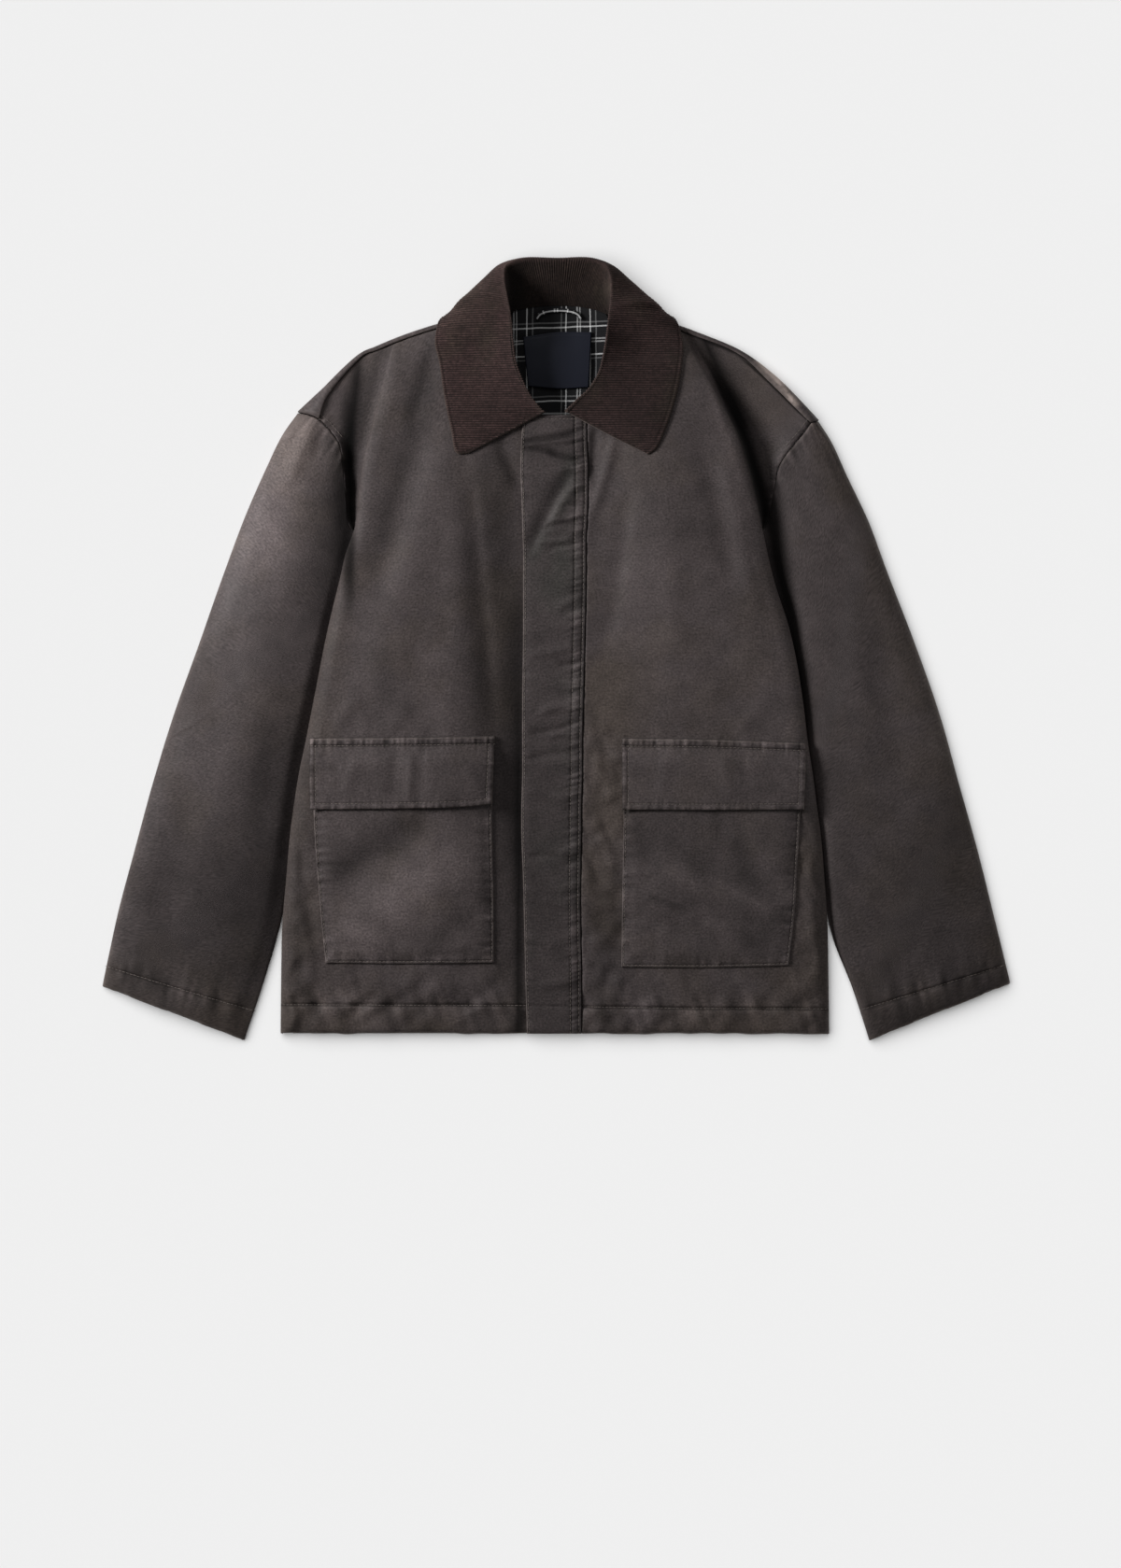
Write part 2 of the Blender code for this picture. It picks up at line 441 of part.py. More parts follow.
# ---- the sleeves -------------------------------------------------------------------------------------------------
def sleeve_height(section, share, width):
    """Height of the sleeve's upper face, a share of the way from its outer to its inner edge."""
    outer = min(share * width / SLEEVE_ROLL_OUT, 1.0)
    inner = min((1.0 - share) * width / SLEEVE_ROLL_IN, 1.0)
    rounding = sqrt(1.0 - (1.0 - outer) ** 2) * sin(0.5 * pi * inner) ** 0.75
    return mix(section.edge_z, section.crown_z, rounding)


def make_sleeve(name, sections, armhole, outward):
    """A flattened open tube. Its first ring lies along the armhole seam, a gap away from the body."""
    away = Vector((0.9 * outward, -0.44, 0.0)) * ARMHOLE_GAP
    rings = []
    for number, section in enumerate(sections):
        outer = Vector((section.outer_x, section.outer_y, 0.0))
        inner = Vector((section.inner_x, section.inner_y, 0.0))
        width = (inner - outer).length
        top = []
        for place, share in enumerate(SLEEVE_SPREAD):
            plain = outer.lerp(inner, share)
            plain.z = sleeve_height(section, share, width)
            seam = Vector((armhole[place].x, armhole[place].y, armhole[place].z)) + away
            first = sections[0]
            chord = Vector((first.outer_x, first.outer_y, 0.0)).lerp(
                Vector((first.inner_x, first.inner_y, 0.0)), share)
            pull = max(0.0, 1.0 - number / 4.0) ** 2
            bowed = plain + Vector(((seam.x - chord.x), (seam.y - chord.y), 0.0)) * pull
            bowed.z = mix(plain.z, seam.z, pull)
            if place == len(SLEEVE_SPREAD) - 1:
                bowed = Vector((inner.x, inner.y, section.edge_z))
            top.append(bowed)
        under = [Vector((p.x, p.y, 0.0)) for p in top[-2:0:-1]]
        ring = [tuple(p) for p in top + under]
        rings.append(ring if outward < 0 else ring[::-1])
    return cloth(name, rings[::-1], SLEEVE_WALL, WAXED, closed=True)


# ---- what lies on the fronts -------------------------------------------------------------------------------------
def columns_between(spans, start, end):
    """First and last column of the facets between two named lines."""
    count = 0
    first = last = 0
    for name, after, steps in spans:
        if name == start:
            first = count
        count += steps
        if after == end:
            last = count
    return first, last


def make_pocket(side, panel, points, spans, table_rows):
    """A patch pocket, and the flap that covers its mouth, made from the front's own points."""
    first, last = columns_between(spans, "pocket_out", "pocket_in")
    if side == "left":
        first, last = len(points[0]) - 1 - last, len(points[0]) - 1 - first
    columns = range(first, last + 1)
    heights = [row.y for row in table_rows]
    bottom, mouth = 1, heights.index(-125.0)
    flap_bottom = mouth - 1
    pocket_rows = range(bottom, mouth + 1)
    on_panel = LAY_GAP + POCKET_WALL
    pocket = moved_out(panel, points, columns, pocket_rows, [on_panel] * len(pocket_rows))
    cloth("pocket_" + side, pocket, POCKET_WALL, WAXED)
    on_pocket = on_panel + LAY_GAP + FLAP_WALL
    flap = moved_out(panel, points, columns, range(flap_bottom, mouth + 2),
                     [on_pocket, on_pocket, LAY_GAP + FLAP_WALL])
    cloth("flap_" + side, flap, FLAP_WALL, WAXED)


def make_placket(panel, points):
    """The double strip down the centre: it lies on the right front and meets the left one edge to edge."""
    first, last = columns_between(RIGHT_SPANS, "placket", "centre")
    rows = range(len(RIGHT_FRONT))
    strip = moved_out(panel, points, range(first, last + 1), rows, [LAY_GAP + PLACKET_WALL] * len(rows))
    strip.append([(x, PLACKET_TOP, z) for x, y, z in strip[-1]])
    for line in strip:
        edge = line[-1]
        line.append((left_edge_at(edge[1]) - SEAM_GAP - 0.2, edge[1], edge[2]))
    return cloth("placket", strip, PLACKET_WALL, WAXED)


def left_edge_at(y):
    """The left front's centre edge at a height, straight between its sections."""
    for low, high in zip(LEFT_FRONT, LEFT_FRONT[1:]):
        if y <= high.y:
            return mix(low.centre_x, high.centre_x, (y - low.y) / (high.y - low.y))
    return LEFT_FRONT[-1].centre_x


# ---- the collar --------------------------------------------------------------------------------------------------
def surface_under(pieces):
    """A function for the height of the highest of these pieces at a place, or None beside them."""
    bpy.context.view_layer.update()
    graph = bpy.context.evaluated_depsgraph_get()
    trees = [BVHTree.FromObject(piece, graph) for piece in pieces]

    def height(x, y):
        start = Vector((x, y, 100.0)) * MM
        hits = [tree.ray_cast(start, Vector((0.0, 0.0, -1.0)))[0] for tree in trees]
        found = [hit.z / MM for hit in hits if hit is not None]
        return max(found) if found else None

    return height


def collar_section(row):
    """Points across one section: up the stand, over the roll, and down the fall to its outer edge."""
    seam = Vector((row.seam_x, row.seam_y, row.seam_z))
    roll = Vector((row.roll_x, row.roll_y, row.roll_z))
    mid = Vector((row.mid_x, row.mid_y, row.mid_z))
    edge = Vector((row.edge_x, row.edge_y, row.edge_z))
    points = []
    for step in range(STAND_STEPS):
        t = step / STAND_STEPS
        points.append(seam.lerp(roll, t) - Vector((0.0, 0.0, 4.0 * STAND_SAG * t * (1.0 - t))))
    at = row.pass_at
    pull = (mid - roll * (1.0 - at) ** 2 - edge * at * at) / (2.0 * at * (1.0 - at))
    for step in range(FALL_STEPS + 1):
        t = step / FALL_STEPS
        points.append(roll * (1.0 - t) ** 2 + pull * (2.0 * t * (1.0 - t)) + edge * t * t)
    return points


def make_collar(resting):
    """One ribbon round the neck: it stands up from the seam, rolls over, and its fall lies on the shoulders."""
    above = COLLAR_GAP + COLLAR_WALL
    sections = []
    for row in COLLAR_SECTIONS:
        mid_z = row.mid_z or resting(row.mid_x, row.mid_y) + above + 1.0
        edge_z = row.edge_z or resting(row.edge_x, row.edge_y) + above
        section = collar_section(row._replace(mid_z=mid_z, edge_z=edge_z))
        for point in section[STAND_STEPS + 1:]:
            below = resting(point.x, point.y)
            if below is not None:
                point.z = max(point.z, below + above)
        sections.append(section)
    across = range(STAND_STEPS + FALL_STEPS + 1)
    points = [[tuple(section[step]) for section in sections] for step in across]
    return cloth("collar", points, COLLAR_WALL, CORDUROY, mirrored=True)


# ---- inside the neck ---------------------------------------------------------------------------------------------
def make_lining():
    """The lining of the back, as far as it shows through the neck."""
    bottom = BODY_WALL + LAY_GAP + LINING_WALL
    steps = 5
    points = []
    for row in range(steps + 1):
        y = mix(LINING_BOTTOM, LINING_TOP, row / steps)
        narrow = 38.0 * (row / steps) ** 3
        rise = 1.2 if row == steps else 0.0
        left, right = LINING_LEFT + narrow, LINING_RIGHT - narrow
        points.append([(mix(left, right, c / 4), y, bottom + rise) for c in range(5)])
    return cloth("lining_back", points, LINING_WALL, PLAID)


def make_label():
    """A bare woven label on the lining, a little raised in its middle."""
    base = BODY_WALL + LINING_WALL + 2 * LAY_GAP + LABEL_WALL
    low_left, low_right, top_left, top_right = (Vector(corner) for corner in LABEL_CORNERS)
    steps = 3
    points = []
    for row in range(steps + 1):
        left = low_left.lerp(top_left, row / steps)
        right = low_right.lerp(top_right, row / steps)
        line = []
        for column in range(steps + 1):
            flat = left.lerp(right, column / steps)
            raised = 1.2 * sin(pi * row / steps) + 0.8 * sin(pi * column / steps)
            line.append((flat.x, flat.y, base + raised))
        points.append(line)
    return cloth("label", points, LABEL_WALL, SATIN)


def make_loop():
    """The hanger loop, a narrow strip of lining cloth from one end sewn at the neck to the other."""
    path = [Vector(point) for point in LOOP_PATH]
    steps = 10
    centre = [smooth_through(path, (len(path) - 1) * step / steps) for step in range(steps + 1)]
    half = Vector((0.0, 0.5 * LOOP_WIDTH, 0.0))
    return cloth("hanger_loop", [[tuple(p - half) for p in centre], [tuple(p + half) for p in centre]],
                 LOOP_WALL, PLAID)


# ---- the jacket --------------------------------------------------------------------------------------------------
(right_panel, right_points), (left_panel, left_points) = make_fronts()
back_panel = make_back()
make_sleeve("sleeve_right", RIGHT_SLEEVE, RIGHT_ARMHOLE, -1.0)
make_sleeve("sleeve_left", LEFT_SLEEVE, LEFT_ARMHOLE, 1.0)
make_pocket("right", right_panel, right_points, RIGHT_SPANS, RIGHT_FRONT)
make_pocket("left", left_panel, left_points, LEFT_SPANS, LEFT_FRONT)
placket = make_placket(right_panel, right_points)
make_collar(surface_under([right_panel, left_panel, back_panel, placket]))
make_lining()
make_label()
make_loop()
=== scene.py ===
"""A waxed cotton field jacket laid flat with its fronts closed: cloth, seams, stitching, corduroy, lining and light.

Millimetres in the tables, metres in the meshes. "Right" and "left" are the wearer's: the wearer's right is at -X.
"""
from collections import namedtuple
from math import pi

import bpy
import numpy as np
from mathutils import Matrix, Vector
from mathutils.bvhtree import BVHTree


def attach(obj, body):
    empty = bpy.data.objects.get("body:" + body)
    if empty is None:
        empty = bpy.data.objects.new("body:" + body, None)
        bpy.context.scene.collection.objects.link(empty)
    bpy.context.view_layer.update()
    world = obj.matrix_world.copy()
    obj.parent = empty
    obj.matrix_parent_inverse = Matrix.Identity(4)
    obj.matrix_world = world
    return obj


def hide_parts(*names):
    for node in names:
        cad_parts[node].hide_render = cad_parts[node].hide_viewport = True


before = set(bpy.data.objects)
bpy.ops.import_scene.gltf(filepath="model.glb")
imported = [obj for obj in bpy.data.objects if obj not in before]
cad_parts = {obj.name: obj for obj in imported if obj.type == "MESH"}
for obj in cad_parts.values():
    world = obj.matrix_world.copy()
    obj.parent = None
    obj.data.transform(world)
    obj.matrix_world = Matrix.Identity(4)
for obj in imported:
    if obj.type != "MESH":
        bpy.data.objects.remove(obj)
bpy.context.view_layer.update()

MM = 0.001

# ---- driving sizes, in millimetres -------------------------------------------------------------------------------
BODY_WALL = 1.6
SLEEVE_WALL = 1.4
COLLAR_WALL = 2.0
PLACKET_WALL = 2.0
POCKET_WALL = 1.3
FLAP_WALL = 1.8
FRONT_ROLL = 15.0  # width over which a front rounds off to its side fold
SLEEVE_WIDTH = 170.0  # about what a sleeve measures across
SLEEVE_ROLL_OUT, SLEEVE_ROLL_IN = 26.0, 34.0  # over which it rounds off to its outer and its inner edge
SHOULDER_INSET = 3.2
SEAM_GAP = 0.4
PLACKET_RISE = 2.7  # outer face of the placket above the right front
POCKET_RISE = 2.0
FLAP_RISE = 6.4
PLACKET_TOP = 236.2
POCKET_STITCH, FLAP_STITCH, FLAP_BAND = 2.3, 6.0, 8.4  # from their edges, and from the flap's upper one
NECK_EDGE_Y = 343.4
WALE_PITCH = 2.3
TWILL_PITCH, RIB_PITCH = 0.0011, 0.0007  # of the cloth's and the label's weave, in metres


def table(columns, rows):
    """Rows with named columns."""
    row_type = namedtuple("Row", columns)
    return [row_type(*map(float, row)) for row in rows]


# ---- the fronts: a row for each section across, from the hem up to the chest --------------------------------------
FRONT = (
    "y seam_x seam_z tuck_x tuck_z fold_x fold_z pocket_out pocket_in placket_x centre_x "
    "crown_z centre_z"
)
RIGHT_FRONT = table(FRONT, [
    (-386.3, -266, 0, -272, 0.8, -277.8, 5.5, -229, -61.6, -29.6, 24.9, 13, 11),
    (-317.7, -264, 0, -271, 0.8, -277, 7, -231.7, -61.6, -31.5, 24.9, 20, 13),
    (-276.4, -262, 0, -269, 1, -276, 8, -235.5, -62.5, -32.4, 24.9, 23, 14),
    (-233.1, -252, 0, -262, 1, -272.1, 11, -238.3, -62.5, -33.4, 24.9, 25, 15),
    (-181.4, -243, 0, -253, 1, -267.4, 14, -242, -63.4, -35.2, 24.9, 26.5, 15),
    (-160.7, -240, 0, -250, 1, -264.6, 14.5, -243.9, -64.4, -35.2, 24.9, 27, 15),
    (-125, -234, 0, -244, 1, -259, 15.5, -246, -62.5, -34.3, 24.9, 27.5, 15.5),
    (-88.4, -226, 0, -236, 1, -251.4, 16, -247.4, -61.6, -34.3, 24.9, 28, 16),
    (-55.5, -219, 0, -229, 1, -244.9, 16.5, -234.5, -61.6, -34.3, 24.9, 28, 16.5),
    (20.7, -204, 0, -214, 1, -229.8, 17, -213.8, -61.6, -33.4, 24.9, 27, 16.5),
    (71.4, -192, 0, -202, 1, -217.6, 17.5, -198.8, -61.6, -33.4, 24.9, 28, 16.5),
    (101.5, -188, 0, -196, 1, -210.1, 18, -191.3, -61.6, -33.4, 24.9, 28, 16.5),
    (110.9, -197.5, 8, -200, 6.3, -206.5, 18.5, -189, -61.6, -33.8, 24.9, 28, 16.5),
    (127.8, -208, 13, -205.5, 5.2, -201.5, 17.5, -185.6, -61.6, -34.3, 24.9, 26.5, 16.5),
    (156, -211, 14, -206, 5.2, -198.8, 17, -180, -62.5, -35.2, 24.9, 25, 16.5),
    (185.2, -213.8, 14.5, -206.5, 6, -195, 16.5, -172.5, -63.4, -36.2, 24.9, 23, 16.5),
    (200.2, -215.7, 15, -206.3, 7.5, -192, 16, -168, -63.9, -35.7, 24.9, 21.5, 16.5),
    (212.4, -220.4, 15.4, -206, 9, -188.5, 15.5, -164, -64.4, -35.2, 24.9, 20.5, 16.5),
    (223.7, -229.8, 15.8, -205.5, 10.5, -185.5, 15.5, -160, -64.4, -34.3, 24.9, 20, 16.5),
])
LEFT_FRONT = table(FRONT, [
    (-386.3, 263, 0, 269, 0.8, 274.9, 5.5, 234.5, 64.4, 45, 25.8, 13, 13.6),
    (-318.7, 261, 0, 268, 0.8, 274, 7, 233.6, 64.4, 45, 25.8, 17, 15.6),
    (-276.4, 259, 0, 266, 1, 273.1, 8, 239.2, 64.4, 45, 24.9, 19, 16.6),
    (-233.1, 250, 0, 260, 1, 270.2, 11, 242, 65.3, 45, 24.9, 21, 17.6),
    (-181.4, 241, 0, 251, 1, 265.6, 14, 244.9, 66.3, 46, 25.8, 22, 17.6),
    (-160.7, 238, 0, 248, 1, 262.7, 14.5, 247.7, 66.3, 46, 25.8, 22, 17.6),
    (-125, 233, 0, 243, 1, 258, 15.5, 248.4, 66.3, 46.5, 26.8, 23, 18.1),
    (-91.2, 227, 0, 237, 1, 252.8, 16, 248.8, 66.3, 46.5, 26.8, 24, 18.6),
    (-55.5, 223, 0, 233, 1, 248.6, 16.5, 234.5, 66.3, 47, 27.7, 25, 19.1),
    (20.7, 209, 0, 219, 1, 234.5, 17, 218.5, 65.3, 47, 29.6, 27, 19.1),
    (71.4, 194, 0, 204, 1, 218.5, 17.5, 203, 64.4, 47, 30.5, 28, 19.1),
    (101.5, 192, 0, 199.5, 1, 211.5, 18, 196, 64.4, 47, 30.5, 28.5, 19.1),
    (110.9, 201.6, 7, 204, 6.3, 209.5, 19, 193, 64.4, 47, 30.5, 29, 19.1),
    (128.8, 212, 8.5, 209.4, 5.2, 205.4, 21, 189.4, 64.4, 48, 31.5, 30, 19.1),
    (152.3, 216.7, 9.5, 208.6, 5.2, 200.6, 22, 183, 64.4, 48, 32.4, 30, 19.1),
    (169.2, 220.4, 10.5, 205.5, 5.4, 197, 22.5, 177.5, 64.4, 48, 32.4, 30, 19.1),
    (188, 225.1, 12, 200.8, 5.8, 192.2, 22.5, 171.5, 64.4, 48, 32.4, 29.5, 19.1),
    (204, 236.4, 13.5, 196.4, 6.2, 187.6, 22.5, 165, 64.4, 48, 31.5, 29, 19.1),
    (217.1, 247.7, 15.5, 191, 6.6, 182.2, 22, 159.3, 64.4, 47.5, 31.2, 28, 19.1),
])

# How many steps of the upper edge's rows lie between two named lines, from the side to the centre.
SPANS = {
    "right": (("seam_x", 0), ("tuck_x", 2), ("fold_x", 4), ("pocket_out", 6), ("pocket_in", 12),
              ("placket_x", 14), ("centre_x", 16)),
    "left": (("seam_x", 0), ("tuck_x", 4), ("fold_x", 6), ("pocket_out", 8), ("pocket_in", 14),
             ("placket_x", 15), ("centre_x", 16)),
}

# Upper edge of each front: the shoulder seam up to the neck point, then the neckline down to the centre.
UPPER_EDGE = "x y z outline_x outline_y"
RIGHT_UPPER = table(UPPER_EDGE, [
    (-239.2, 232.2, 16, -259.9, 238.8),
    (-228.5, 257, 14.2, -231, 265.8),
    (-199, 294.6, 9.8, -200, 295.6),
    (-181, 303.6, 9.4, -181.5, 304.6),
    (-164, 310.9, 9.2, -164.5, 311.9),
    (-152, 315.5, 9.2, -152.4, 316.5),
    (-139, 320, 9.4, -139.4, 321),
    (-122.7, 325.2, 9.8, -123, 326.2),
    (-99.2, 331.8, 10.6, -99.4, 332.8),
    (-71, 340.3, 12, -71.2, 341.3),
    (-59, 312, 16.5, 0, 0),
    (-52, 286, 17.5, 0, 0),
    (-45, 265, 17.5, 0, 0),
    (-35, 249, 17, 0, 0),
    (-19, 237, 16.5, 0, 0),
    (4, 233.5, 16.5, 0, 0),
    (24.9, 233, 16.5, 0, 0),
])
LEFT_UPPER = table(UPPER_EDGE, [
    (256.1, 228.4, 16, 263.7, 230.3),
    (242, 241.6, 15, 249, 246),
    (212, 271.5, 13, 219.5, 275.5),
    (182, 299.4, 10.5, 184, 301.2),
    (136.5, 319.8, 9, 137, 320.8),
    (131, 321.9, 9, 131.4, 322.9),
    (126.5, 323.6, 9.3, 126.9, 324.6),
    (119, 326, 9.7, 119.3, 327),
    (111, 328.6, 10, 111.3, 329.6),
    (99, 332.5, 10.6, 99.3, 333.5),
    (86, 336.8, 11.2, 86.2, 337.8),
    (71.9, 341.2, 12, 72.1, 342.2),
    (63, 312, 17.5, 0, 0),
    (57, 288, 19, 0, 0),
    (51, 266, 19.3, 0, 0),
    (44, 248, 19.3, 0, 0),
    (31.2, 232.5, 19.1, 0, 0),
])
SHOULDER_ROWS = {"right": 10, "left": 12}  # how many of its rows are shoulder seam
SHOULDER_DITCH = {"right": 0.25, "left": 0.6}  # how deep that seam is
SHOULDER_EDGE = {"right": (0.22, 0.0), "left": (0.0, 4.0)}  # how rubbed, and how dark, the front is along it

# Armhole seam, from the shoulder's outer edge down to the underarm. Its first four rows are on the back's strip.
ARMHOLE = "x y z"
RIGHT_ARMHOLE = table(ARMHOLE, [
    (-259.9, 238.8, 7), (-252.5, 237.4, 12.5), (-245.5, 235.2, 15.2), (-239.2, 232.2, 16),
    (-229.8, 223.7, 15.8), (-220.4, 212.4, 15.4), (-215.7, 200.2, 15), (-213.8, 185.2, 14.5),
    (-211, 156, 14), (-208, 127.8, 13), (-197.5, 110.9, 8),
])
LEFT_ARMHOLE = table(ARMHOLE, [
    (263.7, 230.3, 7), (261.6, 230, 12), (259, 229.4, 15), (256.1, 228.4, 16),
    (247.7, 217.1, 15.5), (236.4, 204, 13.5), (225.1, 188, 12), (220.4, 169.2, 10.5),
    (216.7, 152.3, 9.5), (212, 128.8, 8.5), (201.6, 110.9, 7),
])
STRIP_ROWS = 4

# Sleeves, a row for each section from the armhole down to the cuff.
SLEEVE = "outer_x outer_y inner_x inner_y crown_z edge_z"
RIGHT_SLEEVE = table(SLEEVE, [
    (-259.9, 238.8, -201.5, 110.9, 17, 10),
    (-275, 217.5, -207.5, 85, 19.5, 10.5),
    (-292, 183, -214.5, 58, 21.5, 9),
    (-312, 138, -221.5, 28, 24, 7),
    (-334, 80, -229, -12, 25, 5.5),
    (-360, 6, -240.5, -66, 25, 5.5),
    (-385, -64, -252.5, -125, 24, 5.5),
    (-406.5, -134, -262.5, -186, 22.5, 5.5),
    (-425, -202, -270.5, -240, 21, 5),
    (-441, -262, -281.5, -290, 17.5, 5),
    (-450, -303, -297, -341, 15.5, 5),
    (-457.3, -338, -314.4, -392.9, 14, 5),
])
LEFT_SLEEVE = table(SLEEVE, [
    (263.7, 230.3, 206.5, 110.9, 16, 7),
    (277, 209.5, 210.5, 85, 17.5, 6.5),
    (292.5, 176, 216.5, 58, 18.5, 6),
    (313.5, 132, 227, 28, 19.5, 5.6),
    (333, 80, 235, -12, 20, 5.5),
    (361.5, 6, 244.5, -66, 20, 5.5),
    (386, -64, 252.5, -125, 20, 5.5),
    (405.5, -134, 261.5, -186, 19.5, 5.5),
    (424.5, -202, 269, -240, 19, 5),
    (439.5, -262, 278.5, -290, 17.5, 5),
    (449.5, -303, 298.5, -341, 15.5, 5),
    (457.3, -335, 315.4, -392.9, 14, 5),
])
# Where the armhole's points go across a plain section, from the outer edge (0) to the inner edge (1).
SLEEVE_SPREAD = (0, 0.025, 0.08, 0.17, 0.28, 0.4, 0.53, 0.66, 0.79, 0.91, 1)

# Collar, a row for each section round the neck, from the right leaf's front end to the left one's: the neck seam,
# the roll line, a point on the fall and the fall's outer edge. A height of 0 in the last two lies on the fronts.
COLLAR = "seam_x seam_y seam_z roll_x roll_y roll_z mid_x mid_y mid_z edge_x edge_y edge_z pass_at"
COLLAR_SECTIONS = table(COLLAR, [
    (-19, 238.5, 21.5, -10.8, 238.3, 26, -49, 217.8, 0, -88, 197.2, 0, 0.5),
    (-28, 245.5, 21, -20.5, 248.5, 28.5, -60, 226.5, 0, -100.4, 197.6, 0, 0.5),
    (-38, 256, 20.5, -28.5, 261, 31, -68, 243, 0, -105.5, 219, 0, 0.5),
    (-47, 271, 20.5, -35.5, 276.5, 33.5, -74, 262, 0, -110.4, 241.6, 0, 0.5),
    (-53, 288, 20.5, -40.5, 292.5, 36, -79, 283, 0, -114.5, 265, 0, 0.5),
    (-57.5, 304, 19.5, -42.5, 310, 38, -82, 302, 0, -118, 289, 0, 0.5),
    (-61.5, 320, 17.5, -43.7, 327, 39.5, -86, 324, 27, -122.5, 313, 17.5, 0.5),
    (-62.8, 325.5, 16, -44.7, 335, 40, -86, 337.5, 28, -119.5, 330, 12.5, 0.5),
    (-62, 331, 13, -46, 343, 40, -101, 346.5, 17, -107, 339, 4, 0.75),
    (-56, 335.5, 9.5, -48.8, 357, 40, -88, 359.5, 15, -84, 349, 1.5, 0.65),
    (-46.5, 339.8, 7, -51.5, 371, 39.5, -73.5, 372.5, 18, -62, 352, 1.5, 0.5),
    (-36, 343.5, 6, -50, 384, 38.5, -58, 386, 24, -44, 352, 1.5, 0.3),
    (-22, 346, 5.6, -37, 390.4, 37, -38, 392, 26, -26, 352, 1.5, 0.25),
    (1, 347, 5.6, 1, 390.8, 36, 1, 392.7, 26, 1, 352, 1.5, 0.25),
    (23, 346, 5.6, 37, 390.4, 37, 38, 392.2, 26, 26, 352, 1.5, 0.25),
    (37, 343.5, 6, 50, 384, 38.5, 59, 384, 24, 44, 352, 1.5, 0.3),
    (48, 339.8, 7, 54, 371, 39.5, 75, 370.5, 18, 62, 352, 1.5, 0.5),
    (58, 335.5, 9.5, 54, 357, 40, 91, 357, 15, 86, 349, 1.5, 0.65),
    (64.5, 331, 13, 52.6, 343, 40, 105, 344, 17, 110.5, 338.5, 4, 0.75),
    (65.8, 326, 16, 51.6, 335.5, 40, 91, 337, 28, 122.5, 330, 12.5, 0.5),
    (66, 321, 18.5, 51, 328, 39.5, 89, 325, 27, 127.2, 313.5, 18, 0.5),
    (64, 305, 21, 49, 311, 38.5, 88, 303, 0, 126.8, 291, 0, 0.5),
    (60, 289, 22, 46, 294, 37, 84, 284, 0, 123.5, 268, 0, 0.5),
    (55, 272, 22.3, 41, 277, 34.5, 79, 262, 0, 117.5, 244, 0, 0.5),
    (47, 256, 22.3, 31, 261.5, 32, 71, 243, 0, 109, 219.5, 0, 0.5),
    (36, 245, 22.5, 18.5, 250.5, 29.5, 60, 226.5, 0, 100, 201.5, 0, 0.5),
    (26, 237.5, 23, 8, 239.5, 27, 50, 217, 0, 92, 195.6, 0, 0.5),
])
STAND_SAG = 1.8
FALL = 80.0  # about how long the fall is, from the roll to its edge
COLLAR_STITCH = 3.8  # how far inside that edge it is stitched
FAR = 99.0  # a distance too large to matter

LINING_LEFT, LINING_RIGHT, LINING_BOTTOM, LINING_TOP = -78.0, 84.0, 216.0, 348.0
LABEL_CORNERS = ((-28.4, 266), (32.6, 264.8), (-33.6, 315.6), (35.6, 320.6))
LABEL_SIZE = (60.0, 54.0)
LOOP_PATH = ((-20, 334, 6), (-16, 338.6, 6.4), (-6, 341.8, 6.7), (11, 341.8, 6.7),
             (21, 338.6, 6.4), (25, 334, 6))
LOOP_WIDTH = 4.0
LOOP_LINE = 28.5  # where in the plaid the loop is cut, so that a pale line runs along it

# ---- folds: a line from one end to the other, how far its middle bows to its left, its half
# widths on the left and right of the line, and its height, which is below zero for a trough ----------------------
FOLD = "x0 y0 x1 y1 bow left right height"
FRONT_FOLDS = table(FOLD, [
    (-164, 292, -190, 165, 2, 16, 12, 0.6),
    (-121, 304, -150, 222, 2, 10, 14, -2.2),
    (-134, 246, -188, 40, 5, 17, 18, -3.3),
    (-116, 228, -190, -76, 4, 36, 26, 3.6),
    (-91, 200, -62, -90, 2, 7, 11, -2.4),
    (-60, 216, -36, 160, 0, 6, 7, -2),
    (-108, 190, -92, -60, 0, 12, 14, 0.9),
    (-33, 40, -31, -400, 0, 30, 24, -5),
    (-96, -330, -66, -366, 2, 7, 8, 1.4),
    (-150, -322, -118, -350, -3, 7, 9, 1.3),
    (-214, -328, -186, -352, 3, 6, 8, 1.3),
    (-258, -190, -240, -300, -3, 6, 8, -1.6),
    (-262, -240, -246, -340, 3, 5, 7, 1.5),
    (-250, -320, -216, -346, 2, 5, 7, -1.2),
    (-222, -84, -196, -46, 2, 9, 7, 1.2),
    (-170, -84, -146, -50, -2, 10, 7, 1),
    (40, 228, 35, 168, 0, 4, 5, -2.6),
    (60, 222, 33, 128, 2, 6, 6, 2.2),
    (74, 172, 46, -24, 2, 9, 12, -2),
    (142, 224, 178, 60, 3, 14, 12, -2.6),
    (82, 196, 124, -10, 2, 34, 30, 1.4),
    (166, 205, 206, 10, 0, 10, 12, 1.8),
    (116, 70, 206, -76, -3, 20, 16, -1.8),
    (206, -50, 184, -84, 2, 8, 9, 1.1),
    (36, -156, 58, -200, 3, 4, 5, -1.5),
    (34, -206, 62, -256, -3, 5, 6, -1.6),
    (36, -252, 60, -318, 4, 6, 6, -1.2),
    (42, -180, 60, -226, 2, 5, 4, 1.3),
    (33, -70, 46, -140, 0, 6, 6, 1.4),
    (96, -330, 130, -346, 2, 6, 8, 1),
    (180, -326, 214, -350, -2, 6, 8, 1.1),
    (252, -200, 262, -320, 2, 6, 6, 1.2),
])
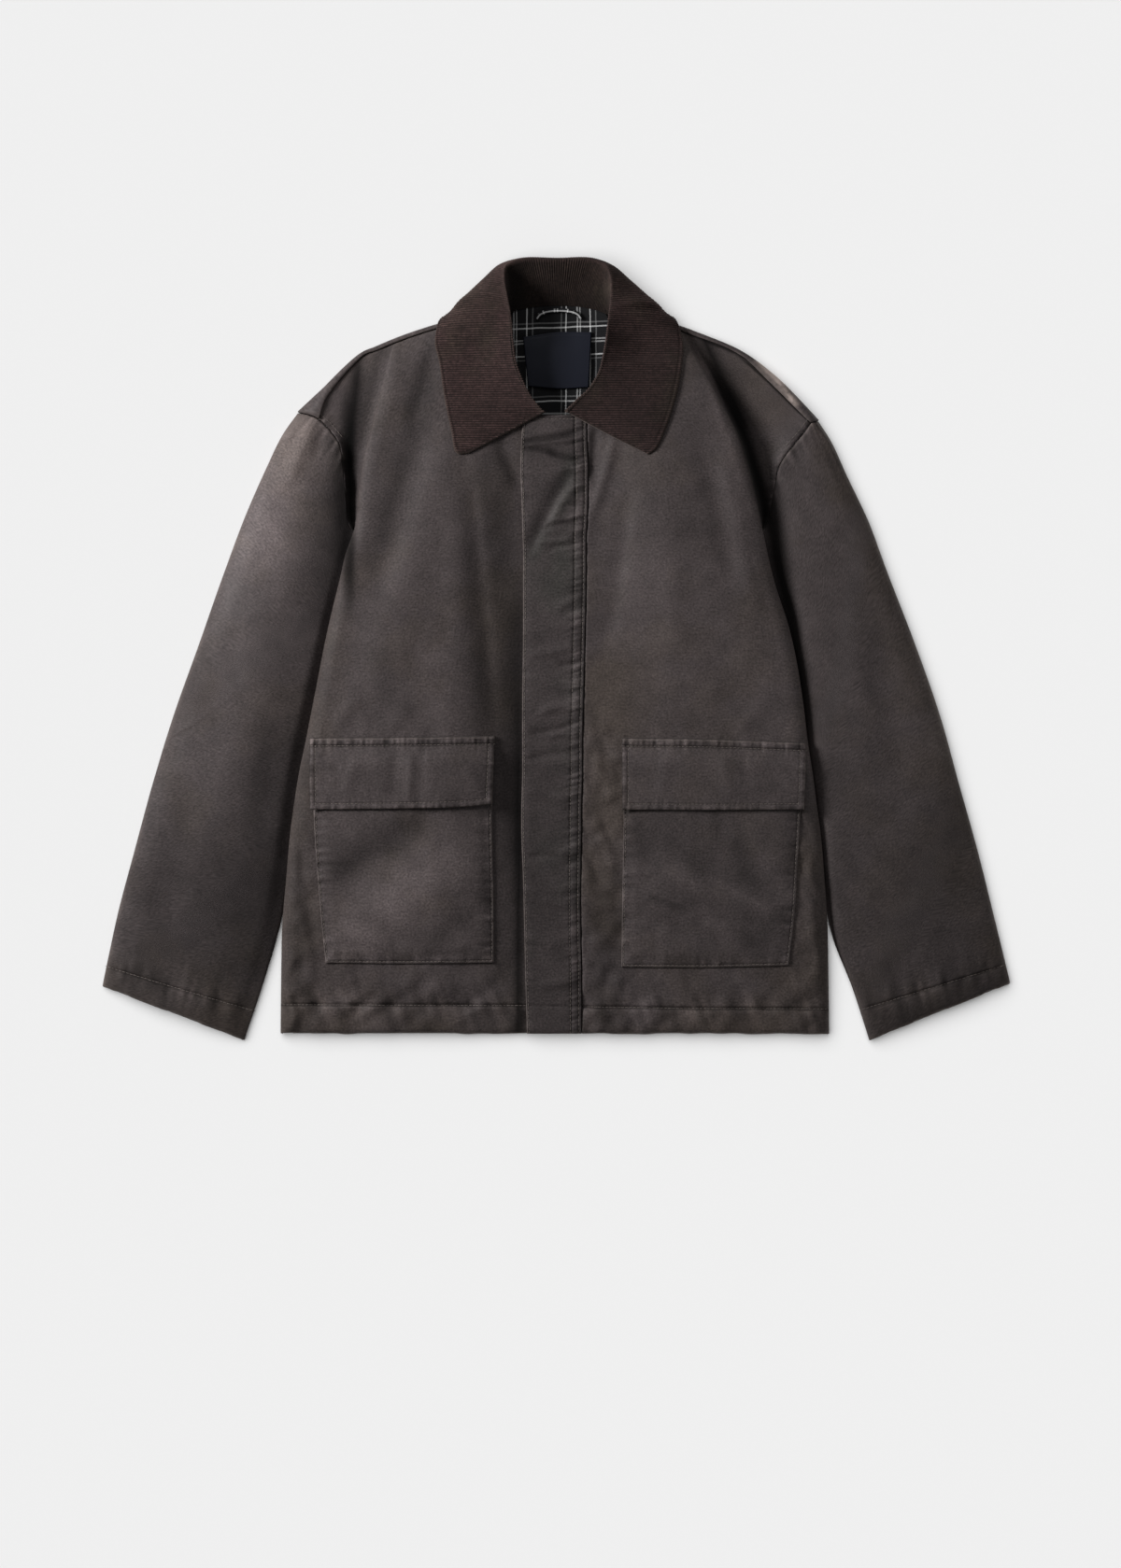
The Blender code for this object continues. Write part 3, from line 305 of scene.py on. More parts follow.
# Painted shade and light on the fronts, laid out in the same way: the last value is below zero where shade is painted
# and above zero where light is.
FRONT_SHADING_PAINT = table(FOLD, [
    (-201, 298, -209, 120, 0, 4, 6, -0.5),
    (-198.6, 306, -209, 176, 0, 3.2, 3.2, -1.3),
    (-172, 330, -196, 214, 0, 4, 5, -0.34),
    (-196, 296, -203, 134, 0, 6, 3, -0.6),
    (-200, 330, -236, 190, 0, 6, 9, 0.34),
    (-209, 270, -207, 36, 0, 5, 7, -2.1),
    (-124, 316, -152, 214, 0, 4.5, 8, -0.46),
    (137, 330, 190, 216, 0, 7, 4, -1.4),
    (170, 280, 226, 90, 0, 7.5, 4.5, -2.1),
    (132, 346, 216, 134, 0, 6, 1.8, -1.2),
    (128.5, 343.5, 214.5, 81.5, 0, 4, 6, 0.26),
    (136, 330, 166, 226, 0, 4, 6, 0.24),
    (128, 312, 190, 268, 0, 9, 6, -0.42),
    (179.2, 243.9, 236.4, 16.5, 0, 7, 2.4, -1.3),
    (-113, 322, -186, 70, 0, 14, 10, -0.42),
    (-62, 250, -60, -300, 0, 26, 22, -0.32),
    (-37, 90, -36, -260, 0, 7, 12, -0.95),
    (-36, -130, -36, -460, 0, 6, 8, -0.8),
    (-38, -20, -37.4, -520, 0, 2.6, 3.2, -1.1),
    (-50, -250, -50, -520, 0, 20, 20, -0.2),
    (-262, -90, -262, -440, 0, 16, 16, -0.4),
    (262, -90, 264, -440, 0, 16, 16, -0.28),
    (46, -20, 52, -200, 0, 14, 14, 0.12),
    (52, -210, 54, -460, 0, 18, 20, -0.34),
    (-218, 100, -260, -170, 0, 9, 9, -0.35),
    (-180, 300, -190, 90, 0, 14, 14, -0.2),
    (-62, 218, -38, 160, 0, 7, 8, -0.35),
    (40, 232, 35, 160, 0, 5, 6, -0.5),
    (98, 120, 120, -60, 0, 50, 50, 0.2),
    (-152, 40, -108, -96, 3, 14, 14, 0.2),
    (-182, 30, -166, -84, 2, 10, 12, -0.18),
    (-84, 20, -68, -150, 0, 12, 10, -0.16),
    (200, 60, 240, -340, 0, 40, 30, 0.09),
])
SLEEVE_FOLDS = table(FOLD, [
    (-241, 238, -272, 160, 1, 6, 9, 1.7),
    (-252, 236, -268, 206, 0, 4, 4, -1.2),
    (-232, 226, -244, 190, 0, 4, 5, -0.9),
    (256.2, 232, 304, 154, -2, 4, 7, -1.8),
    (-300, 60, -330, -180, 6, 30, 26, 1.6),
    (-360, -120, -392, -300, -5, 18, 24, -1.5),
    (330, 20, 350, -190, -4, 16, 20, -1.6),
    (290, 60, 312, -130, 4, 18, 18, 1.6),
    (392, -120, 420, -290, 3, 14, 18, -1.3),
    (-280, -80, -300, -200, 0, 12, 14, -1.2),
])
# Soft folds of the cloth that lies underneath, on the back and on the undersides of the sleeves.
UNDER_FOLDS = table(FOLD, [
    (-110, 150, -135, -60, 4, 18, 24, 1.8),
    (-40, 60, -58, -300, -6, 22, 16, 2.2),
    (52, 170, 40, -90, 3, 16, 20, 1.6),
    (118, 20, 142, -250, -5, 24, 18, 2),
    (8, -150, 22, -340, 0, 14, 20, 1.3),
    (-120, -170, -112, -330, 3, 18, 18, 1.5),
    (-285, 90, -318, -110, 3, 16, 12, 1.6),
    (-345, -60, -372, -250, -4, 14, 18, 1.9),
    (-330, -230, -352, -340, 0, 12, 12, 1.2),
    (290, 80, 322, -120, -3, 12, 16, 1.7),
    (350, -90, 384, -280, 4, 16, 14, 1.8),
    (392, -180, 408, -330, 0, 12, 12, 1.1),
])
PLACKET_FOLDS = table(FOLD, [
    (30, 219.5, -42, 208.5, 1.5, 2.8, 3.2, -2.6),
    (26, 210, -34, 205.5, -2, 2.8, 3, 1.6),
    (30, 191, -8, 199.5, 2, 2.8, 3.2, -2.6),
    (4, 196, -42, 202.5, -2, 2.8, 3, -2.3),
    (28, 186, 0, 181, 2, 3, 3.5, 1.3),
    (24, 192, -31, 88, -4, 5, 8, -2.3),
    (27, 172, -6, 124, -3, 5, 5, 1.7),
    (27, 150, 2, 145, 2, 2.4, 3, -1.2),
    (26, 138, -6, 131, 3, 2.4, 3, 1.2),
    (24, 124, -14, 121, -3, 2.4, 3, -1.3),
    (22, 113, -26, 110, 3, 2.6, 3.4, 1.3),
    (26, 104, -12, 98, -3, 3, 4, -1.17),
    (-34, 92, -6, 80, 1, 4, 5, 0.91),
    (26, 52, -2, 38, -2, 4, 5, 1.04),
    (27, 6, -30, -4, 3, 4, 6, 1.3),
    (26, -12, 0, -16, 1, 3, 4, -1.04),
    (-34, -28, 6, -40, 2, 5, 5, 0.91),
    (27, -58, -20, -66, -4, 4, 6, 1.69),
    (27, -72, -30, -84, 3, 3, 4, -1.56),
    (24, -88, -8, -86, -2, 3, 5, 1.43),
    (27, -104, -34, -112, -3, 4, 4, -1.17),
    (20, -150, -34, -138, 3, 5, 6, 1.04),
    (27, -196, 0, -206, 2, 4, 5, 1.17),
    (27, -212, -32, -210, -4, 4, 4, -1.04),
    (27, -258, -16, -250, 3, 4, 6, 1.17),
    (-34, -290, 4, -300, 2, 5, 5, 1.04),
    (27, -330, -20, -338, 2, 4, 6, 1.17),
])
# Painted shade and light on the placket, laid out in the same way, darkest in its wrinkles.
PLACKET_SHADING_PAINT = table(FOLD, [
    (34, 219.5, -46, 208, 1.5, 2.4, 3, -0.75),
    (34, 190, -10, 199, 2, 2.4, 3, -0.7),
    (6, 195.5, -46, 202.5, -2, 2.4, 3, -0.7),
    (40, 212, -50, 204, 0, 10, 10, -0.14),
    (0, -120, 0, -480, 0, 60, 60, -0.24),
    (-26, -40, -26, -400, 0, 9, 9, -0.18),
    (0, 200, 0, -260, 0, 60, 60, -0.06),
    (24, 192, -31, 88, -4, 3, 11, -0.34),
    (27, -74, -30, -88, 3, 6, 8, -0.22),
    (27, -112, -32, -150, 0, 12, 20, -0.14),
])
# Painted shade and light on the sleeves, laid out in the same way.
SLEEVE_SHADING_PAINT = table(FOLD, [
    (-214, 190, -224, 10, 0, 10, 24, -0.62),
    (-212, 226, -208, 60, 0, 7, 12, -1.5),
    (-256, -60, -296, -370, 0, 14, 52, -0.6),
    (-350, -150, -400, -480, 0, 80, 70, -0.46),
    (-340, 90, -462, -400, 0, 46, 40, -0.22),
    (-250, 258, -306, 60, 0, 30, 30, 0.68),
    (400, -100, 390, -470, 0, 80, 70, -0.42),
    (290, 120, 330, -160, 0, 34, 46, -0.1),
    (204, 206, 256, -98, 0, 9, 9, -1.9),
    (256, -60, 300, -400, 0, 40, 20, -0.22),
    (280, -396, 505, -312, 0, 15, 15, -0.4),
])
POCKET_FOLDS = table(FOLD, [
    (-104, -158, -236, -250, -4, 20, 16, -2.8),
    (-60, -206, -222, -312, -6, 32, 28, 3.6),
    (-120, -300, -72, -262, 0, 12, 12, -1.2),
    (-200, -268, -150, -300, 3, 9, 10, -1),
    (-226, -296, -150, -309, 2, 5, 5, -0.9),
    (-140, -306, -78, -304, -3, 5, 5, -0.8),
    (84, -176, 200, -226, 4, 16, 18, -1.6),
    (164, -188, 236, -222, 2, 9, 11, 1.5),
    (90, -220, 206, -268, 4, 14, 16, 1.6),
    (100, -268, 196, -306, 0, 12, 12, -1.5),
    (84, -240, 120, -290, 2, 7, 8, 0.9),
])
# Painted shade and light on the pockets, laid out in the same way.
POCKET_SHADING_PAINT = table(FOLD, [
    (-74, -190, -236, -320, 0, 40, 36, 0.42),
    (-120, -166, -236, -232, 0, 15, 18, -0.42),
    (150, -60, 150, -400, 0, 120, 120, -0.1),
    (84, -172, 170, -240, 0, 18, 26, -0.26),
    (74, -150, 86, -214, 0, 9, 12, -0.3),
    (176, -182, 202, -248, 0, 10, 12, -0.42),
    (158, -150, 164, -196, 0, 7, 7, -0.26),
    (96, -206, 172, -262, 0, 14, 10, 0.3),
    (90, -246, 132, -262, 0, 3, 4, -0.4),
    (140, -252, 176, -296, 0, 7, 9, 0.24),
    (236, -256, 186, -306, 0, 14, 12, -0.34),
    (70, -306, 110, -280, 0, 8, 9, 0.22),
    (150, -226, 214, -262, 0, 4, 5, 0.24),
])
FLAP_FOLDS = table(FOLD, [
    (-146, -100, -150, -158, 1.5, 6, 5, 1.3),
    (-161, -98, -164, -156, 0, 6, 6, -0.9),
    (-128, -102, -124, -150, 0, 6, 7, 0.7),
    (-212, -150, -198, -108, 2, 6, 7, 0.9),
    (-236, -104, -216, -122, 2, 6, 6, -0.7),
    (-92, -118, -74, -146, 0, 6, 6, 0.8),
    (110, -102, 104, -150, 2, 6, 8, 0.8),
    (168, -104, 176, -152, -2, 7, 6, 0.9),
    (186, -100, 194, -140, 0, 5, 6, -0.7),
    (222, -110, 236, -146, 0, 6, 6, 0.8),
])


# ---- shared shaping tools ----------------------------------------------------------------------------------------
def mix(a, b, share):
    return a + (b - a) * share


def ease(value):
    """From 0 at 0 to 1 at 1, level at both ends."""
    value = np.clip(value, 0.0, 1.0)
    return value * value * (3.0 - 2.0 * value)


def bell(distance, width):
    """1 at no distance, falling to 0.37 at this width on either side."""
    return np.exp(-(distance / width) ** 2)


def column(rows, name):
    return np.array([getattr(row, name) for row in rows])


def smooth_at(knots, values, places):
    """A smooth curve through values at rising knots, read at places."""
    knots, values = np.asarray(knots, float), np.asarray(values, float)
    places = np.clip(places, knots[0], knots[-1])
    wide = (-1,) + (1,) * (values.ndim - 1)
    steps = np.diff(knots).reshape(wide)
    rises = np.diff(values, axis=0) / steps
    slopes = np.empty_like(values)
    slopes[0], slopes[-1] = rises[0], rises[-1]
    slopes[1:-1] = (rises[:-1] * steps[1:] + rises[1:] * steps[:-1]) / (steps[:-1] + steps[1:])
    start = np.clip(np.searchsorted(knots, places, side="right") - 1, 0, len(knots) - 2)
    step = steps[start]
    t = ((places - knots[start]) / np.diff(knots)[start]).reshape(wide)
    t2, t3 = t * t, t * t * t
    return (values[start] * (2 * t3 - 3 * t2 + 1) + slopes[start] * step * (t3 - 2 * t2 + t)
            + values[start + 1] * (3 * t2 - 2 * t3) + slopes[start + 1] * step * (t3 - t2))


def lengths_along(path):
    """How far along a path each of its points is."""
    return np.concatenate([[0.0], np.cumsum(np.linalg.norm(np.diff(path, axis=0), axis=1))])


def spaced(low, high, coarse, fine_at, fine, growth):
    """Places from low to high, coarse apart, and closer together near the places in fine_at."""
    ruler = np.linspace(low, high, 6000)
    step = np.full_like(ruler, coarse)
    for place in fine_at:
        step = np.minimum(step, fine + growth * abs(ruler - place))
    density = 1.0 / step
    count = np.concatenate([[0.0], np.cumsum(0.5 * (density[1:] + density[:-1]) * np.diff(ruler))])
    return np.interp(np.linspace(0.0, count[-1], int(np.ceil(count[-1])) + 1), count, ruler)


def hashed(ix, iy, seed):
    """A value from -1 to 1 for each corner of a grid, always the same one."""
    value = np.sin(ix * 127.1 + iy * 311.7 + seed * 74.7) * 43758.5453
    return 2.0 * (value - np.floor(value)) - 1.0


def noise(x, y, size, seed, stretch=1.0):
    """Smooth unevenness from -1 to 1, its lumps about size wide, and stretched along y."""
    gx, gy = np.asarray(x, float) / size, np.asarray(y, float) / (size * stretch)
    ix, iy = np.floor(gx), np.floor(gy)
    fx, fy = ease(gx - ix), ease(gy - iy)
    low = mix(hashed(ix, iy, seed), hashed(ix + 1, iy, seed), fx)
    high = mix(hashed(ix, iy + 1, seed), hashed(ix + 1, iy + 1, seed), fx)
    return mix(low, high, fy)


def folds_at(x, y, folds):
    """Height that the listed folds add at places."""
    total = np.zeros_like(x)
    for fold in folds:
        dx, dy = fold.x1 - fold.x0, fold.y1 - fold.y0
        length = np.hypot(dx, dy)
        along = ((x - fold.x0) * dx + (y - fold.y0) * dy) / length ** 2
        aside = ((y - fold.y0) * dx - (x - fold.x0) * dy) / length
        t = np.clip(along, 0.0, 1.0)
        aside = aside - fold.bow * 4.0 * t * (1.0 - t)
        width = np.where(aside > 0.0, fold.left, fold.right)
        taper = ease((along + 0.05) / 0.3) * ease((1.05 - along) / 0.3)
        total += fold.height * bell(aside, width) * taper
    return total


def beside(x, y, path):
    """Distance from a path of straight runs, and how far along it, at places."""
    path = np.asarray(path, float)
    nearest, along = np.full(np.shape(x), 1e9), np.zeros(np.shape(x))
    done = 0.0
    for (x0, y0), (x1, y1) in zip(path[:-1, :2], path[1:, :2]):
        dx, dy = x1 - x0, y1 - y0
        length = np.hypot(dx, dy)
        t = np.clip(((x - x0) * dx + (y - y0) * dy) / length ** 2, 0.0, 1.0)
        away = np.hypot(x - x0 - t * dx, y - y0 - t * dy)
        along = np.where(away < nearest, done + t * length, along)
        nearest = np.minimum(away, nearest)
        done += length
    return nearest, along


def seam_relief(x, y, path, ditch, width, pucker, reach, pitch, seed):
    """A sewn line pulls the cloth down in a narrow ditch, with short puckers across it that fade away from it."""
    away, along = beside(x, y, path)
    lengths = reach * (1.0 + 0.6 * noise(along, away * 0.0, pitch * 2.3, seed + 5))
    waves = noise(along, away * 0.12, pitch, seed) + 0.5 * noise(along, away * 0.2, pitch * 0.45, seed + 9)
    return -ditch * bell(away, width) + pucker * waves * np.exp(-away / lengths)


def puckers(along, away, pitch, reach, seed):
    """Short folds across an edge or a seam, from -1 to 1, uneven in spacing, strength and length."""
    waves = noise(along, 0.12 * away, 0.5 * pitch, seed) + 0.6 * noise(along, 0.1 * away, pitch, seed + 3)
    lengths = reach * (1.0 + 0.5 * noise(along, 0.0 * along, 2.2 * pitch, seed + 5))
    return waves * np.exp(-away / lengths)


def unevenness(x, y, seed, size):
    """The lie of cloth that has been worn: broad swells, soft dents and a fine crumple."""
    return size * (0.45 * noise(x + 0.3 * y, y - 0.2 * x, 58.0, seed, 2.4)
                   + 0.20 * noise(x - 0.4 * y, y + 0.3 * x, 27.0, seed + 1, 2.0)
                   + 0.09 * noise(x + 0.5 * y, y - 0.5 * x, 12.0, seed + 2, 1.3)
                   + 0.03 * noise(x, y, 5.0, seed + 3))


def olive_near(x, y, low, sides):
    """How olive the wax has turned: most towards the hem or cuff below low, and beside the paths in sides."""
    share = 0.9 * ease((low + 60.0 - y) / 90.0)
    for path, width, most in sides:
        share = np.maximum(share, most * bell(beside(x, y, path)[0], width))
    return share


def facing(points):
    """Unit normals of a grid of points."""
    normal = np.cross(np.gradient(points, axis=1), np.gradient(points, axis=0))
    return normal / np.maximum(np.linalg.norm(normal, axis=2, keepdims=True), 1e-9)


def smoothed(values, times, axis):
    """Values that have taken on some of their neighbours' along one axis, this many times."""
    for _ in range(times):
        ends = [(int(number == axis),) * 2 for number in range(values.ndim)]
        around = np.pad(values, ends, mode="edge")
        before = np.take(around, range(values.shape[axis]), axis)
        after = np.take(around, range(2, values.shape[axis] + 2), axis)
        values = 0.5 * values + 0.25 * (before + after)
    return values


# ---- meshes ------------------------------------------------------------------------------------------------------
def grid_faces(rows, columns, closed):
    index = np.arange(rows * columns).reshape(rows, columns)
    if closed:
        index = np.concatenate([index, index[:, :1]], axis=1)
    return np.stack([index[:-1, :-1], index[:-1, 1:], index[1:, 1:], index[1:, :-1]], axis=-1).reshape(-1, 4)


def linked(name, data):
    """A new object in the scene."""
    made = bpy.data.objects.new(name, data)
    bpy.context.scene.collection.objects.link(made)
    return made


surfaces = {}
sewn_paths = {}


def cloth(name, points, wall, finish, cut, wear=None, closed=False, olive=None, tone=None):
    """A shell through a grid of points, with its wall below it, a map of its cut, and its wear, olive and tone; the
    tone holds painted shade and light, and the wear holds a painted highlight on the back's strips.
    """
    rows, columns = points.shape[:2]
    faces = grid_faces(rows, columns, closed)
    mesh = bpy.data.meshes.new(name)
    mesh.vertices.add(rows * columns)
    mesh.vertices.foreach_set("co", (points * MM).astype(np.float32).ravel())
    mesh.loops.add(faces.size)
    mesh.loops.foreach_set("vertex_index", faces.astype(np.int32).ravel())
    mesh.polygons.add(len(faces))
    mesh.polygons.foreach_set("loop_start", np.arange(0, faces.size, 4, dtype=np.int32))
    mesh.update(calc_edges=True)
    layer = mesh.uv_layers.new(name="cut")
    layer.data.foreach_set("uv", (cut.reshape(-1, 2)[faces.ravel()] * MM).astype(np.float32).ravel())
    for key, values, plain, most in (("wear", wear, 0.0, 3.0), ("olive", olive, 0.0, 1.0), ("tone", tone, 0.5, 1.0)):
        layer = mesh.attributes.new(key, "FLOAT", "POINT")
        values = np.full((rows, columns), plain) + (0.0 if values is None else values - plain)
        layer.data.foreach_set("value", np.clip(values, 0.0, most).astype(np.float32).ravel())
    mesh.validate()
    mesh.shade_smooth()
    mesh.materials.append(finish)
    piece = linked(name, mesh)
    thickness = piece.modifiers.new("wall", "SOLIDIFY")
    thickness.thickness = wall * MM
    thickness.offset = -1.0
    thickness.use_even_offset = False
    thickness.use_quality_normals = True
    surfaces[name] = BVHTree.FromPolygons(points.reshape(-1, 3).tolist(), faces.tolist())
    return piece


def lifted(x, y, names):
    """Height and normal of the highest of these surfaces at each place."""
    heights, normals = np.full(np.shape(x), np.nan), np.zeros(np.shape(x) + (3,))
    for place in np.ndindex(np.shape(x)):
        start = Vector((x[place], y[place], 200.0))
        for name in names:
            hit, normal, _, _ = surfaces[name].ray_cast(start, Vector((0.0, 0.0, -1.0)))
            if hit is not None and not hit.z < heights[place]:
                heights[place] = hit.z
                normals[place] = normal
    return heights, normals


# ---- finishes ----------------------------------------------------------------------------------------------------
def new_finish(name):
    material = bpy.data.materials.new(name)
    material.use_nodes = True
    return material, material.node_tree, material.node_tree.nodes["Principled BSDF"]


def feed(tree, socket, value):
    if isinstance(value, bpy.types.NodeSocket):
        tree.links.new(value, socket)
    elif value is not None:
        socket.default_value = value


def add(tree, kind, *inputs, out=0, **settings):
    """A node with its settings, its inputs fed in order, and one of its outputs."""
    made = tree.nodes.new(kind)
    for key, value in settings.items():
        setattr(made, key, value)
    for socket, value in zip(made.inputs, inputs):
        feed(tree, socket, value)
    return made.outputs[out]


def placed(tree, kind, inputs, **settings):
    """A node with its settings, its inputs fed by name or number, and all its outputs."""
    made = tree.nodes.new(kind)
    for key, value in settings.items():
        setattr(made, key, value)
    for socket, value in inputs.items():
        feed(tree, made.inputs[socket], value)
    return made.outputs


def maths(tree, operation, *inputs, clamp=False):
    return add(tree, "ShaderNodeMath", *inputs, operation=operation, use_clamp=clamp)


def vectors(tree, operation, first, second):
    return add(tree, "ShaderNodeVectorMath", first, second, operation=operation)


def blended(tree, share, first, second):
    return placed(tree, "ShaderNodeMix", {0: share, 6: first, 7: second}, data_type="RGBA")[2]


def painted(tree, name):
    """A value that the mesh has on its points."""
    return add(tree, "ShaderNodeAttribute", attribute_name=name, out=2)


def lumps(tree, where, size, detail):
    """Noise from 0 to 1 with lumps about this size, in metres."""
    return placed(tree, "ShaderNodeTexNoise", {"Vector": where, "Scale": 1.0 / size, "Detail": detail})[0]


def spread(tree, value, *ranges):
    """A value spread from one range to another, or to 0 and 1."""
    return add(tree, "ShaderNodeMapRange", value, *ranges)


def bumped(tree, shader, height, distance, strength):
    made = placed(tree, "ShaderNodeBump", {"Strength": strength, "Distance": distance, "Height": height})
    tree.links.new(made["Normal"], shader.inputs["Normal"])


def surfaced(tree, shader, *values):
    """The shader's colour, roughness and specular level, and the weight, roughness and tint of its sheen."""
    names = ("Base Color", "Roughness", "Specular IOR Level", "Sheen Weight", "Sheen Roughness", "Sheen Tint")
    for name, value in zip(names, values):
        feed(tree, shader.inputs[name], value)


def patched(tree, place, size, detail, ranges, red_brown, olive):
    """Red brown with patches of olive, and more of it where the mesh is olive."""
    patches = spread(tree, lumps(tree, place, size, detail), *ranges)
    patches = maths(tree, "ADD", painted(tree, "olive"), patches, clamp=True)
    return blended(tree, patches, (*red_brown, 1.0), (*olive, 1.0))


def toned(tree, tone):
    """A tone darkened or paled by the mesh's tone, which holds painted shade and light, and that value."""
    painted_shading = painted(tree, "tone")
    return vectors(tree, "MULTIPLY", tone, maths(tree, "MULTIPLY", painted_shading, 2.0)), painted_shading


def waxed_cotton(name, red_brown, olive):
    """Twill with wax rubbed in: patches of olive and red brown, a fine grain, paler where it is rubbed, and the
    painted shade and light of the mesh's tone and the painted highlight carried in its wear.
    """
    material, tree, shader = new_finish(name)
    place = add(tree, "ShaderNodeTexCoord", out=3)
    weave_map = add(tree, "ShaderNodeUVMap", uv_map="cut")
    tone = patched(tree, place, 0.06, 3.0, (0.35, 0.65, -0.42, 0.42), red_brown, olive)
    mottled = spread(tree, lumps(tree, place, 0.022, 5.0), 0.3, 0.7, 0.84, 1.16)
    weft = vectors(tree, "MULTIPLY", weave_map, (0.22, 1.0, 1.0))
    slubs = spread(tree, lumps(tree, weft, 0.0015, 2.0), 0.3, 0.7, 0.86, 1.14)
    fine_grain = spread(tree, lumps(tree, weave_map, 0.0021, 3.0), 0.3, 0.7, 0.66, 1.34)
    grain = maths(tree, "MULTIPLY", fine_grain, slubs)
    # The mesh's tone brings painted shade and light into the colour.
    tone, painted_shading = toned(tree, vectors(tree, "MULTIPLY", tone, maths(tree, "MULTIPLY", mottled, grain)))
    # The mesh's wear: worn cloth, and on the back's strips a painted highlight.
    worn = painted(tree, "wear")
    rubbed = spread(tree, lumps(tree, place, 0.004, 3.0), 0.25, 0.65, 0.35, 1.0)
    share = maths(tree, "MULTIPLY", worn, rubbed, clamp=True)
    # Wear above 1, only where the back's strips carry a painted highlight, pales the worn colour further.
    highlight_gain = maths(tree, "MAXIMUM", worn, 1.0)
    tone = blended(tree, share, tone, vectors(tree, "MULTIPLY", WORN, highlight_gain))
    gloss = spread(tree, lumps(tree, place, 0.035, 3.0), 0.3, 0.7, 0.55, 0.66)
    dull = maths(tree, "MULTIPLY_ADD", painted_shading, -0.9, 0.45, clamp=True)
    surfaced(tree, shader, tone, maths(tree, "ADD", gloss, dull, clamp=True), 0.16, 0.04, 0.5, (0.9, 0.82, 0.76, 1.0))
    axes = placed(tree, "ShaderNodeSeparateXYZ", {0: weave_map})
    twill = maths(tree, "MULTIPLY", maths(tree, "ADD", axes[0], axes[1]), 2.0 * pi / TWILL_PITCH)
    height = maths(tree, "MULTIPLY_ADD", maths(tree, "SINE", twill), 0.35, grain)
    height = maths(tree, "MULTIPLY_ADD", lumps(tree, weave_map, 0.0045, 3.0), 4.5, height)
    bumped(tree, shader, height, 0.00012, 0.55)
    return material


def corduroy(name, red_brown, olive, worn_tone):
    """Cotton pile: matt, with a soft sheen at a grazing angle, browner and greener patches, pale rubbed edges, and
    the painted shade and light of the mesh's tone.
    """
    material, tree, shader = new_finish(name)
    place = add(tree, "ShaderNodeTexCoord", out=3)
    tone = patched(tree, place, 0.05, 2.0, (0.55, 0.80), red_brown, olive)
    nap = spread(tree, lumps(tree, place, 0.0026, 3.0), 0.3, 0.7, 0.55, 1.45)
    tone, _ = toned(tree, vectors(tree, "MULTIPLY", tone, nap))
    tone = blended(tree, painted(tree, "wear"), tone, (*worn_tone, 1.0))
    surfaced(tree, shader, tone, 0.9, 0.12, 0.12, 0.6, (0.75, 0.60, 0.56, 1.0))
    bumped(tree, shader, nap, 0.00015, 0.6)
    return material


# Lines of the plaid: where each is in the repeat, from 0 to 1, and how bright it is.
PLAID_X = ((0.095, 0.10), (0.169, 0.42), (0.346, 0.26), (0.390, 0.26), (0.552, 0.42), (0.640, 0.10))
PLAID_Y = ((0.011, 0.42), (0.187, 0.26), (0.226, 0.26), (0.390, 0.42), (0.454, 0.10), (0.960, 0.10))
PLAID_REPEAT = (0.0639, 0.0743)
PLAID_LINE = 0.0013


def lines_of(tree, value, repeat, lines):
    """Brightness of the woven lines across one axis."""
    share = maths(tree, "FRACT", maths(tree, "DIVIDE", value, repeat))
    ramp = tree.nodes.new("ShaderNodeValToRGB")
    ramp.color_ramp.interpolation = "CONSTANT"
    stops = ramp.color_ramp.elements
    stops[0].position, stops[0].color = 0.0, (0.0, 0.0, 0.0, 1.0)
    stops.remove(stops[1])
    half = 0.5 * PLAID_LINE / repeat
    for middle, bright in lines:
        stops.new(middle - half).color = (bright, bright, bright, 1.0)
        stops.new(middle + half).color = (0.0, 0.0, 0.0, 1.0)
    tree.links.new(share, ramp.inputs[0])
    return ramp.outputs[0]


def plaid(name):
    """Fine cotton lining, black with a white windowpane plaid."""
    material, tree, shader = new_finish(name)
    place = add(tree, "ShaderNodeUVMap", uv_map="cut")
    wander = maths(tree, "MULTIPLY", lumps(tree, place, 0.03, 1.0), 0.0022)
    axes = placed(tree, "ShaderNodeSeparateXYZ", {0: vectors(tree, "ADD", place, wander)})
    across, along = (lines_of(tree, *given) for given in zip(axes, PLAID_REPEAT, (PLAID_X, PLAID_Y)))
    tone = vectors(tree, "ADD", vectors(tree, "ADD", across, along), (0.010, 0.010, 0.011))
    threads = spread(tree, lumps(tree, place, 0.0009, 1.0), 0.3, 0.7, 0.75, 1.25)
    surfaced(tree, shader, vectors(tree, "MULTIPLY", tone, threads), 0.85, 0.2)
    bumped(tree, shader, threads, 0.0001, 0.4)
    return material


def satin(name):
    """Dense navy black satin with a fine rib."""
    material, tree, shader = new_finish(name)
    place = add(tree, "ShaderNodeUVMap", uv_map="cut")
    across = placed(tree, "ShaderNodeSeparateXYZ", {0: place})[1]
    ribs = maths(tree, "SINE", maths(tree, "MULTIPLY", across, 2.0 * pi / RIB_PITCH))
    grain = lumps(tree, place, 0.0012, 2.0)
    tone = blended(tree, grain, (0.0076, 0.0091, 0.0168, 1.0), (0.0120, 0.0138, 0.0236, 1.0))
    surfaced(tree, shader, tone, 0.5, 0.25)
    bumped(tree, shader, maths(tree, "MULTIPLY_ADD", ribs, 0.4, grain), 0.00008, 0.4)
    return material


def thread(name, tone):
    """Spun thread, darker between its fibres."""
    material, tree, shader = new_finish(name)
    fibres = lumps(tree, add(tree, "ShaderNodeTexCoord", out=3), 0.0012, 2.0)
    dark = tuple(0.72 * part for part in tone)
    surfaced(tree, shader, blended(tree, fibres, (*dark, 1.0), (*tone, 1.0)), 0.6, 0.3)
    bumped(tree, shader, fibres, 0.0001, 0.5)
    return material


